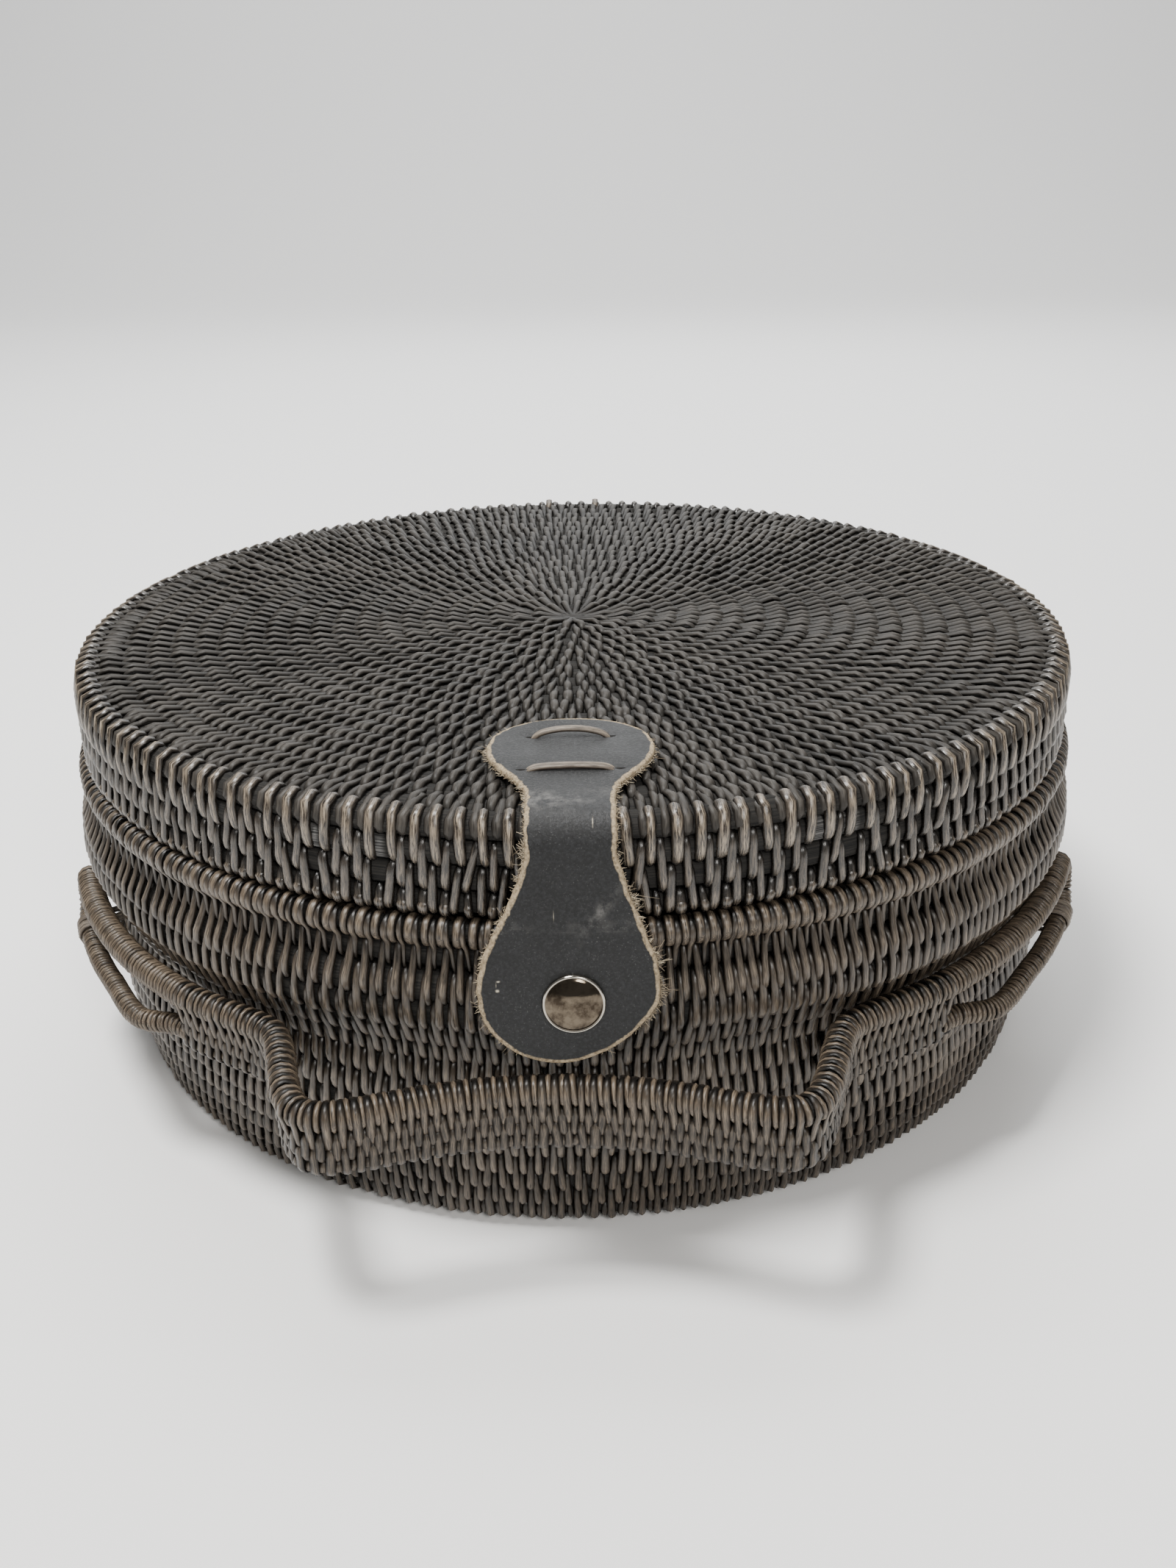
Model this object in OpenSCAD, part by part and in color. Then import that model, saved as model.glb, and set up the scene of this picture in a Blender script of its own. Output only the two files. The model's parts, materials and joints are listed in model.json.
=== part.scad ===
// Round lidded basket of coiled cane, with a leather snap strap and a wavy cane gallery.
// Origin: centre of the base on the surface it stands on. +Z up, the strap faces -Y.

/* [Overall] */
// Outer diameter of the lid
lid_d = 350; // [330:1:370]
// Height of the lid's top above the surface
lid_top_z = 140; // [136:1:150]
// Diameter of one wrapped coil of the wall
coil_d = 8.5; // [7.5:0.5:9]

/* [Body wall] */
// Outer radius at the base
base_r = 168.5; // [160:0.5:169]
// Outer radius of the lower wall's widest coil
lower_r = 173; // [169:0.5:173]
// Height of the lower wall's widest coil
lower_z = 42; // [36:1:46]
// Outer radius of the groove that the gallery lies in
groove_r = 171.5; // [168:0.5:172]
// Height of the groove
groove_z = 60; // [58:1:62]
// Outer radius of the belly
belly_r = 180; // [178:0.5:180]
// Height of the belly's widest coil
belly_z = 82; // [80:1:84]

/* [Body rim] */
// Diameter of the wrapped rim rod
rim_d = 9; // [8:0.5:9]
// Radius of the rim rod's centreline
rim_r = 173; // [171:0.5:173]
// Height of the rim rod's centreline
rim_z = 104; // [102:0.5:104]

/* [Lid] */
// Diameter of the wrapped edge rod
lid_edge_d = 8; // [7:0.5:8]
// Thickness of the skirt
lid_skirt_t = 7.5; // [6:0.5:8]
// Thickness of the lid's top
lid_top_t = 7.5; // [6:0.5:8]
// Height of the skirt's lower edge, just clear of the body rim
lid_skirt_z = 108.8; // [108.8:0.1:112]

/* [Gallery] */
// Diameter of the wrapped gallery rod along its rim
gallery_rim_d = 9; // [7:0.5:9]
// Height of the gallery rim's centreline
gallery_rim_z = 65; // [63:0.5:65]
// Thickness of the coiled band under the rim
gallery_band_t = 5.5; // [4:0.5:6]
// Height of the coiled band
gallery_band_h = 13.5; // [8:0.5:16]
// Radius of the gallery's centreline along the sides
gallery_r = 179.2; // [179.2:0.2:180]
// Angle from the front at which the band ends and the open handle starts
handle_start_deg = 40.5; // [39:0.5:44]
// Angle from the front at which the rod turns back under itself
handle_end_deg = 69.5; // [64:0.5:72]
// Diameter of the rod along the handle's lower side
loop_d = 7; // [5:0.5:7]
// Height of the handle's lower side
loop_z = 49; // [46:0.5:50]
// Radius of the handle's lower side
loop_r = 182; // [180:0.5:184]
// Turn of the front gallery about the basket's axis
gallery_turn_deg = 1.5; // [0:0.5:2]
// Rise of the front gallery towards the right
gallery_tilt_deg = 0.6; // [0:0.1:0.6]

/* [Leather strap] */
// Thickness of the leather
leather_t = 2.5; // [2:0.1:2.6]
// Width of the strap at its waist, over the lid's edge
strap_waist_w = 24; // [20:0.5:28]
// Width of each rounded end
strap_lobe_w = 49; // [44:0.5:52]
// Length of the part that hangs below the bend
flap_l = 60.5; // [56:0.5:62]
// Outward lean of the hanging part
flap_lean_deg = 5.4; // [5.2:0.1:6]

/* [Snap] */
// Diameter of the domed cap
snap_cap_d = 17; // [15:0.5:18]
// Height of the cap's dome
snap_cap_h = 3.2; // [2.5:0.1:4]
// Distance of the snap below the bend
snap_drop = 42; // [41:0.2:46]

/* [Hinge] */
// Width of the leather hinge
hinge_w = 26; // [24:1:30]
// Lean of the leather hinge against the belly
hinge_lean_deg = 6.2; // [6:0.1:7]

/* [Hidden] */
$fn = 96;

CANE = [0.33, 0.29, 0.25];
CANE_TOP = [0.31, 0.30, 0.28];
CANE_RIM = [0.40, 0.35, 0.29];
LACE = [0.50, 0.44, 0.37];
LEATHER = [0.17, 0.175, 0.18];
METAL = [0.62, 0.60, 0.57];

// Heights and radii that follow from the driving sizes
wall_top_z = rim_z - rim_d / 2;
lid_r = lid_d / 2;
lid_edge_r = lid_r - lid_edge_d / 2;
lid_edge_z = lid_top_z - lid_edge_d / 2;
gallery_band_z = gallery_rim_z - gallery_rim_d / 2;
eps = 0.01;

// Cosine blend from a to b as t runs from 0 to 1
function ease(a, b, t) = a + (b - a) * (1 - cos(180 * t)) / 2;

// The wall's outer radius at height z
function wall_r(z) =
    z < lower_z ? ease(base_r, lower_r, sin(90 * z / lower_z) * 0.5 + z / lower_z * 0.5)
    : z < groove_z ? ease(lower_r, groove_r, (z - lower_z) / (groove_z - lower_z))
    : z < belly_z ? ease(groove_r, belly_r, (z - groove_z) / (belly_z - groove_z))
    : ease(belly_r, rim_r + 2.5, (z - belly_z) / (wall_top_z - belly_z));

function wall_heights(z0) = [for (i = [0:24]) z0 + (wall_top_z - z0) * i / 24];

// Half section of the wall and everything inside it
module filled_section() {
    polygon(concat([[0, 0]], [for (z = wall_heights(0)) [wall_r(z), z]], [[0, wall_top_z]]));
}

module base_disc() {
    color(CANE) cylinder(r = base_r - coil_d, h = coil_d);
}

module body_wall() {
    inner = [for (z = wall_heights(coil_d)) [wall_r(z) - coil_d, z]];
    color(CANE) difference() {
        rotate_extrude() difference() {
            filled_section();
            polygon(concat([[-eps, -1], [base_r - coil_d, -1], [base_r - coil_d, coil_d]], inner,
                [[wall_r(wall_top_z) - coil_d, wall_top_z + 1], [-eps, wall_top_z + 1]]));
        }
        body_rim_ring();
        snap_post();
        hinge_body_cane();
    }
}

module body_rim_ring() {
    rotate_extrude() translate([rim_r, rim_z]) circle(d = rim_d);
}

module body_rim() {
    color(CANE_RIM) body_rim_ring();
}

// Bezier curve between two keys [x, y, heading, handle]
function bezier(a, b, n) = let(
    p1 = [a[0] + a[3] * cos(a[2]), a[1] + a[3] * sin(a[2])],
    p2 = [b[0] - b[3] * cos(b[2]), b[1] - b[3] * sin(b[2])])
    [for (i = [0:n - 1]) let(t = i / n, u = 1 - t)
        u * u * u * [a[0], a[1]] + 3 * u * u * t * p1 + 3 * u * t * t * p2 + t * t * t * [b[0], b[1]]];

// Point on a circle of radius r at an angle from the front, towards +X
function around(r, deg) = [r * sin(deg), -r * cos(deg)];

// Plan of the gallery's right half: middle dip, lobe corner, notch, then along the wall
DIP = [0, -188, 0, 38];
CORNER = [66, -198, 27, 11];
NOTCH = concat(around(gallery_r + 0.5, 27.6), [44, 9]);
SIDE = concat(around(gallery_r, 38), [38, 8]);
band_half = concat(bezier(DIP, CORNER, 14), bezier(CORNER, NOTCH, 16), bezier(NOTCH, SIDE, 10),
    [around(gallery_r, 38), around(gallery_r, handle_start_deg)]);
handle_steps = 10;
rim_half = concat(band_half, [for (i = [1:handle_steps])
    around(gallery_r, handle_start_deg + (handle_end_deg - handle_start_deg) * i / handle_steps)]);

// The right half continued to the left: mirrored, then the half itself
function both_halves(half) = concat([for (i = [len(half) - 1:-1:1]) [-half[i][0], half[i][1]]], half);

function unit(v) = v / norm(v);
function heading(path, i) = unit(path[min(i + 1, len(path) - 1)] - path[max(i - 1, 0)]);
function smooth(a, b, t) = ease(a, b, max(0, min(1, t)));

// A ring of the rod: its centre, its radius and the direction that faces away from the basket
function rim_ring(i) = let(d = heading(rim_half, i))
    [concat(rim_half[i], [gallery_rim_z]), gallery_rim_d / 2, [d[1], -d[0], 0]];
function side_ring(deg, r, z, radius) = [concat(around(r, deg), [z]), radius, concat(around(1, deg), [0])];

// The rod turns back in a half circle, then returns below the rim and bows out near the band
function turn_ring(t) = side_ring(handle_end_deg + 2.5 * sin(180 * t), ease(gallery_r, loop_r, t),
    (gallery_rim_z + loop_z) / 2 + (gallery_rim_z - loop_z) / 2 * cos(180 * t),
    ease(gallery_rim_d, loop_d, t) / 2);
function low_ring(deg) = let(
    s = deg - handle_start_deg,
    r = s < 6 ? smooth(gallery_r, loop_r + 2, s / 6) : smooth(loop_r + 2, loop_r, (s - 6) / 9))
    side_ring(deg, r, smooth(loop_z + 3, loop_z, s / 8), loop_d / 2);
turn_steps = 9;
low_steps = 14;
low_end_deg = handle_start_deg + 0.3;
rod_half = concat([for (i = [0:len(rim_half) - 1]) rim_ring(i)],
    [for (i = [1:turn_steps]) turn_ring(i / turn_steps)],
    [for (i = [1:low_steps]) low_ring(handle_end_deg + (low_end_deg - handle_end_deg) * i / low_steps)]);
function mirrored(v) = [-v[0], v[1], v[2]];

// Tube of n sides through the rings of the right half and their mirror images
module rod(half, n) {
    rings = concat([for (i = [len(half) - 1:-1:1]) [mirrored(half[i][0]), half[i][1], mirrored(half[i][2])]],
        half);
    path = [for (ring = rings) ring[0]];
    m = len(path);
    points = [for (i = [0:m - 1]) let(
        along = heading(path, i),
        side = unit(rings[i][2] - (rings[i][2] * along) * along),
        up = cross(side, along))
        each [for (k = [0:n - 1]) let(a = 360 * (k + 0.5) / n)
            path[i] + rings[i][1] * (cos(a) * side + sin(a) * up)]];
    polyhedron(points, concat(
        [[for (k = [0:n - 1]) k]],
        [for (i = [0:m - 2]) for (k = [0:n - 1]) let(j = (k + 1) % n)
            each [[i * n + k, (i + 1) * n + k, (i + 1) * n + j], [i * n + k, (i + 1) * n + j, i * n + j]]],
        [[for (k = [n - 1:-1:0]) (m - 1) * n + k]]));
}

// The front gallery sits a little askew, as it was bound on by hand
module front() rotate([0, -gallery_tilt_deg, 0]) rotate([0, 0, -gallery_turn_deg]) children();
module back() mirror([0, 1, 0]) children();
module left() mirror([1, 0, 0]) children();

module gallery_rod() {
    color(CANE_RIM) rod(rod_half, 10);
}

module gallery_band() {
    plan = both_halves(band_half);
    edge = [for (i = [0:len(plan) - 1]) let(d = heading(plan, i)) gallery_band_t / 2 * [d[1], -d[0]]];
    color(CANE) translate([0, 0, gallery_rim_z - gallery_rim_d / 2 - gallery_band_h])
        linear_extrude(gallery_band_h) polygon(concat(plan + edge,
            [for (i = [len(plan) - 1:-1:0]) plan[i] - edge[i]]));
}

// Cane lashing that binds the rod to the wall, just past its turn
module gallery_lashing() {
    width_deg = 3.2;
    high = loop_d / 2 + 1.5;
    in_r = 165;
    rotate([0, 0, handle_end_deg - width_deg - 0.4 - 90]) rotate_extrude(angle = width_deg) difference() {
        union() {
            translate([in_r, loop_z - high]) square([loop_r - in_r, 2 * high]);
            translate([loop_r, loop_z]) circle(r = high);
        }
        translate([loop_r, loop_z]) circle(d = loop_d + 0.1);
    }
}

module cut_by_wall() {
    color(LACE) difference() {
        children();
        rotate_extrude() filled_section();
    }
}

module lid_edge_ring() {
    rotate_extrude() translate([lid_edge_r, lid_edge_z]) circle(d = lid_edge_d);
}

module lid_top() {
    color(CANE_TOP) difference() {
        translate([0, 0, lid_top_z - lid_top_t]) cylinder(r = lid_edge_r, h = lid_top_t);
        lid_edge_ring();
        strap_cane();
        hinge_lid_cane();
    }
}

module lid_edge_rod() {
    color(CANE_TOP) lid_edge_ring();
}

module lid_skirt() {
    color(CANE) difference() {
        rotate_extrude() translate([lid_r - lid_skirt_t, lid_skirt_z])
            square([lid_skirt_t, lid_edge_z - lid_edge_d / 2 - lid_skirt_z]);
        hinge_lid_cane();
    }
}

// The strap bends over the lid's edge about this centre line, with this inner radius
bend_r = 7.6;
bend_y = -lid_edge_r;
bend_z = lid_top_z - bend_r;
fold_y = bend_y - bend_r - leather_t;
lobe_y = -131;
strap_back_y = -112;

// Plan of the strap's top lobe, from its rounded back end to the waist at the lid's edge
module strap_lobe_outline() {
    lobe_h = lobe_y - strap_back_y;
    waist_y = bend_y + 6;
    polygon(concat(
        [for (i = [0:16]) let(a = 180 * i / 16)
            [strap_lobe_w / 2 * cos(a), lobe_y - lobe_h * sin(a)]],
        [for (i = [1:10]) [-ease(strap_lobe_w, strap_waist_w, i / 10) / 2, lobe_y + (waist_y - lobe_y) * i / 10]],
        [[-strap_waist_w / 2, bend_y], [strap_waist_w / 2, bend_y]],
        [for (i = [10:-1:1]) [ease(strap_lobe_w, strap_waist_w, i / 10) / 2, lobe_y + (waist_y - lobe_y) * i / 10]]));
}

module strap_top() {
    color(LEATHER) difference() {
        union() {
            translate([0, 0, lid_top_z]) linear_extrude(leather_t) strap_lobe_outline();
            translate([-strap_waist_w / 2, bend_y, bend_z]) rotate([0, 90, 0])
                linear_extrude(strap_waist_w) intersection() {
                    difference() {
                        circle(r = bend_r + leather_t);
                        circle(r = bend_r);
                    }
                    translate([-30, -30]) square([30, 30]);
                }
        }
        strap_cane();
    }
}

// One cane stitch: a bar above, a bar below and two legs through what lies between
module stitch(w, strip_w, strip_t, depth) {
    bar = [w + strip_t, strip_w, strip_t];
    for (z = [0, -depth - strip_t]) translate([-bar[0] / 2, -strip_w / 2, z]) cube(bar);
    for (x = [-w / 2, w / 2])
        translate([x - strip_t / 2, -strip_w / 2, -depth - strip_t]) cube([strip_t, strip_w, depth + 2 * strip_t]);
}

lace_w = 2.6;
lace_t = 1.2;
lace_back_y = -126;
lace_back_w = 22;
lace_front_y = -149;
lace_front_w = 26;

module strap_stitch(y, w) {
    translate([0, y, lid_top_z + leather_t]) stitch(w, lace_w, lace_t, lid_top_t + leather_t);
}

module strap_cane() {
    strap_stitch(lace_back_y, lace_back_w);
    strap_stitch(lace_front_y, lace_front_w);
}

module strap_lace_back() {
    color(LACE) strap_stitch(lace_back_y, lace_back_w);
}

module strap_lace_front() {
    color(LACE) strap_stitch(lace_front_y, lace_front_w);
}

// The hanging part's own plane: x across, y down along the leather, z outwards
module on_flap() {
    translate([0, fold_y, bend_z]) rotate([-flap_lean_deg, 0, 0]) rotate([90, 0, 0])
        mirror([0, 1, 0]) translate([0, 0, -leather_t]) children();
}

module flap_outline() {
    lobe_l = 38;
    tip_l = flap_l - lobe_l;
    polygon(concat(
        [[strap_waist_w / 2, 0.3], [-strap_waist_w / 2, 0.3]],
        [for (i = [0:12]) [-ease(strap_waist_w, strap_lobe_w, i / 12) / 2, 3 + (lobe_l - 3) * i / 12]],
        [for (i = [1:19]) let(a = 180 * i / 20) [-strap_lobe_w / 2 * cos(a), lobe_l + tip_l * sin(a)]],
        [for (i = [12:-1:0]) [ease(strap_waist_w, strap_lobe_w, i / 12) / 2, 3 + (lobe_l - 3) * i / 12]]));
}

snap_post_d = 4;
snap_plate_d = 12;
snap_plate_t = 1;
stud_gap = 0.3;
snap_z = bend_z - snap_drop * cos(flap_lean_deg);

module strap_flap() {
    color(LEATHER) on_flap() difference() {
        linear_extrude(leather_t) flap_outline();
        translate([0, snap_drop, -1]) cylinder(d = snap_post_d, h = leather_t + 2);
    }
}

module snap_cap() {
    ball_r = (pow(snap_cap_d / 2, 2) + pow(snap_cap_h - 1, 2)) / (2 * (snap_cap_h - 1));
    color(METAL) on_flap() translate([0, snap_drop, 0]) {
        cylinder(d = snap_post_d, h = leather_t + eps);
        translate([0, 0, leather_t]) cylinder(d = snap_cap_d, h = 1);
        translate([0, 0, leather_t + 1]) intersection() {
            translate([0, 0, snap_cap_h - 1 - ball_r]) sphere(r = ball_r);
            cylinder(d = snap_cap_d, h = snap_cap_h);
        }
    }
}

module snap_socket() {
    color(METAL) on_flap() translate([0, snap_drop, -snap_plate_t]) cylinder(d = snap_plate_d, h = snap_plate_t);
}

// The stud stands on the belly and faces the socket, clear of its lower edge
stud_back_y = -belly_r - 0.1;
socket_near_y = fold_y + leather_t / cos(flap_lean_deg) + snap_plate_t
    - (snap_drop - snap_plate_d / 2) * sin(flap_lean_deg);
stud_t = stud_back_y - socket_near_y - stud_gap;
washer_d = 9;
washer_t = 0.9;
washer_y = 0.1 - (wall_r(snap_z + washer_d / 2) - coil_d);

// A disc on the snap's axis inside the wall, from y = near outwards for its thickness
module snap_disc(near, d, t) {
    translate([0, near, snap_z]) rotate([90, 0, 0]) cylinder(d = d, h = t);
}

module snap_post() {
    snap_disc(washer_y, snap_post_d, washer_y - stud_back_y);
}

module snap_stud() {
    color(METAL) union() {
        snap_disc(stud_back_y + eps, snap_plate_d, max(stud_t, 0.4));
        snap_post();
    }
}

module snap_washer() {
    color(METAL) snap_disc(washer_y + washer_t, washer_d, washer_t);
}

// The hinge bends along this line, on the leather's outer face where lid and body meet
hinge_y = 180;
hinge_z = (rim_z + rim_d / 2 + lid_skirt_z) / 2;
hinge_up = 20;
hinge_down = 34;
hinge_gap = 0.3;
hinge_lace_x = 11.5;
hinge_lace_drops = [13, 25];
hinge_lace_w = 18;

// The hinge leather's own plane: x across, y up along the leather, z outwards
module on_hinge() {
    translate([0, hinge_y, hinge_z]) rotate([hinge_lean_deg, 0, 0]) rotate([90, 0, 180])
        translate([0, 0, -leather_t]) children();
}

module hinge_leather_lid() {
    color(LEATHER) difference() {
        on_hinge() translate([-hinge_w / 2, hinge_gap, 0])
            cube([hinge_w, hinge_up - hinge_gap, leather_t]);
        hinge_lid_cane();
    }
}

module hinge_leather_body() {
    round = 6;
    color(LEATHER) difference() {
        on_hinge() linear_extrude(leather_t) union() {
            translate([-hinge_w / 2, -hinge_down + round]) square([hinge_w, hinge_down - round - hinge_gap]);
            translate([-hinge_w / 2 + round, -hinge_down]) square([hinge_w - 2 * round, round + 1]);
            for (x = [-1, 1]) translate([x * (hinge_w / 2 - round), -hinge_down + round]) circle(r = round);
        }
        hinge_body_cane();
    }
}

// Two cane loops that hold the hinge leather to the lid and show on top of its edge
module hinge_lid_cane() {
    out_y = hinge_y + 0.6;
    in_y = lid_r - lid_skirt_t - 5;
    low_z = hinge_z + 9;
    for (x = [-hinge_lace_x, hinge_lace_x]) translate([x - lace_w / 2, 0, 0]) difference() {
        translate([0, in_y - lace_t, low_z - lace_t])
            cube([lace_w, out_y - in_y + lace_t, lid_top_z - low_z + 2 * lace_t]);
        translate([-1, in_y, low_z]) cube([lace_w + 2, out_y - in_y - lace_t, lid_top_z - low_z]);
    }
}

module hinge_lace_lid() {
    color(LACE) hinge_lid_cane();
}

// Two stitches that hold the hinge leather to the wall
module hinge_body_cane() {
    for (drop = hinge_lace_drops) on_hinge() translate([0, -drop, leather_t])
        stitch(hinge_lace_w, lace_w, lace_t, leather_t + coil_d + 2);
}

module hinge_lace_body() {
    color(LACE) hinge_body_cane();
}

base_disc();
body_wall();
body_rim();
front() gallery_rod();  // gallery_rod_front
back() gallery_rod();  // gallery_rod_back
front() gallery_band();  // gallery_band_front
back() gallery_band();  // gallery_band_back
cut_by_wall() front() left() gallery_lashing();  // gallery_lashing_front_left
cut_by_wall() front() gallery_lashing();  // gallery_lashing_front_right
cut_by_wall() back() left() gallery_lashing();  // gallery_lashing_back_left
cut_by_wall() back() gallery_lashing();  // gallery_lashing_back_right
lid_top();
lid_edge_rod();
lid_skirt();
strap_top();
strap_lace_back();
strap_lace_front();
strap_flap();
snap_cap();
snap_socket();
snap_stud();
snap_washer();
hinge_leather_lid();
hinge_leather_body();
hinge_lace_lid();
hinge_lace_body();
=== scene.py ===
import json
import math

import bmesh
import bpy
import numpy as np
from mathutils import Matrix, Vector


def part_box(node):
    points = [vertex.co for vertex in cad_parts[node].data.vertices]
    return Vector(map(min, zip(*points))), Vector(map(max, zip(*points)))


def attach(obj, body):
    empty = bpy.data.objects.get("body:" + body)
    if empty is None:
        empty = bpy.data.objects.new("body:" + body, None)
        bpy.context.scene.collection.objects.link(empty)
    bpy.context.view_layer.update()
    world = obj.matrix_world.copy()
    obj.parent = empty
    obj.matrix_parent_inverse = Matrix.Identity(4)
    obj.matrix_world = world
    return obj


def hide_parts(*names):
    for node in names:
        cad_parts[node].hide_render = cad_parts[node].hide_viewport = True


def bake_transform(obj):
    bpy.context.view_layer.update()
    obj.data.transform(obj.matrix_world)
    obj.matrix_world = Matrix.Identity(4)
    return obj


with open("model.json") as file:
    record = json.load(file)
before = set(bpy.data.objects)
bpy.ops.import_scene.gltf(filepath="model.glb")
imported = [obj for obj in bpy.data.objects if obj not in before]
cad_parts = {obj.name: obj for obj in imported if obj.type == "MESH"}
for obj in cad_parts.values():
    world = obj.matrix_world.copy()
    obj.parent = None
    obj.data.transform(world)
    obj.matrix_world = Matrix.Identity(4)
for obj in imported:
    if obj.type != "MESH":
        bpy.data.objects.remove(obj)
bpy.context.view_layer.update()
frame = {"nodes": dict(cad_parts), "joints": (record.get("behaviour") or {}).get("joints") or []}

# Lidded basket of coiled cane: core rods wound with cane strips, a wavy cane gallery with
# open side handles, and a leather strap and hinge bound on with cane laces.

rng = np.random.default_rng(11)
MM = 0.001
FULL_TURN = 2 * math.pi

# ---------------------------------------------------------------- sizes from the frame


def low(node):
    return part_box(node)[0]


def high(node):
    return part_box(node)[1]


def half_height(node):
    return (high(node).z - low(node).z) / 2


lid_top_z = high("lid_top").z
lid_r = high("lid_edge_rod").x
lid_edge_radius = half_height("lid_edge_rod")
lid_half = half_height("lid_top")
skirt_low_z = low("lid_skirt").z
rim_radius = half_height("body_rim")
rim_z = low("body_rim").z + rim_radius
rim_r = high("body_rim").x - rim_radius
base_thick = high("base_disc").z
fold_y = low("strap_top").y
fold_z = frame["joints"][1]["pos_m"][2]
hinge_z = frame["joints"][0]["pos_m"][2]
hinge_y = frame["joints"][0]["pos_m"][1]


def outer_profile(node):
    """Heights and outer radii of a turned CAD node, from the outward faces of its own mesh."""
    mesh = frame["nodes"][node].data
    co = np.array([v.co for v in mesh.vertices])
    facing = np.array([v.normal for v in mesh.vertices])
    radius = np.hypot(co[:, 0], co[:, 1])
    outward = (co[:, :2] * facing[:, :2]).sum(1) / radius > 0.6
    z, radius = np.round(co[outward, 2], 5), radius[outward]
    heights = np.unique(z)
    return heights, np.array([radius[z == h].max() for h in heights])


# ---------------------------------------------------------------- mesh building

# Strip cross-sections: across from -1 to 1 and height from -1 to 1, domed on the outside
SECTION = np.array([(-1.0, -0.4), (-0.7, 0.44), (0.0, 1.0), (0.7, 0.44), (1.0, -0.4), (0.0, -0.9)])
SECTION_WRAP = np.array([(-1.0, 0.42), (-0.62, 0.85), (0.0, 1.0), (0.62, 0.85), (1.0, 0.42),
                         (0.0, -0.9)])
SECTION_LIGHT = np.array([(-1.0, -0.2), (-0.5, 0.85), (0.5, 0.85), (1.0, -0.2), (0.0, -0.9)])
SECTION_FIBRE = np.array([(-1.0, -0.6), (0.0, 1.0), (1.0, -0.6)])
SHADE_LENGTH = 20 * MM  # the length along a strip that is 1 in its colour attribute


def unit(v):
    return v / np.maximum(np.linalg.norm(v, axis=-1, keepdims=True), 1e-12)


def spaced(count):
    """Angles spaced evenly round a full turn."""
    return np.linspace(0, FULL_TURN, count, endpoint=False)


def vary(amount, *shape):
    """Random numbers that stray from 1 by about the amount."""
    return 1 + amount * rng.normal(0, 1, shape)


def turned(radius, turn, height):
    """Points at radii and heights, turned about the axis by angles from the front."""
    return np.stack(np.broadcast_arrays(radius * np.sin(turn), -radius * np.cos(turn), height), -1)


def round_axis(turn):
    """The direction round the axis at angles from the front."""
    return np.stack([np.cos(turn), np.sin(turn), np.zeros_like(turn)], -1)


def mesh_object(name, verts, faces, shade):
    """Object from vertices, a list of face index arrays of one width each, and a colour per vertex."""
    mesh = bpy.data.meshes.new(name)
    mesh.vertices.add(len(verts))
    mesh.vertices.foreach_set("co", np.ascontiguousarray(verts, np.float32).ravel())
    corners = np.concatenate([f.ravel() for f in faces])
    sizes = np.concatenate([np.full(len(f), f.shape[1]) for f in faces])
    starts = np.concatenate([[0], np.cumsum(sizes)[:-1]])
    mesh.loops.add(len(corners))
    mesh.loops.foreach_set("vertex_index", corners.astype(np.int32))
    mesh.polygons.add(len(sizes))
    mesh.polygons.foreach_set("loop_start", starts.astype(np.int32))
    mesh.polygons.foreach_set("use_smooth", np.ones(len(sizes), bool))
    attribute = mesh.attributes.new("strand", "FLOAT_COLOR", "POINT")
    attribute.data.foreach_set("color", np.ascontiguousarray(shade, np.float32).ravel())
    mesh.update(calc_edges=True)
    mesh.validate()
    obj = bpy.data.objects.new(name, mesh)
    bpy.context.scene.collection.objects.link(obj)
    return obj


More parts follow.
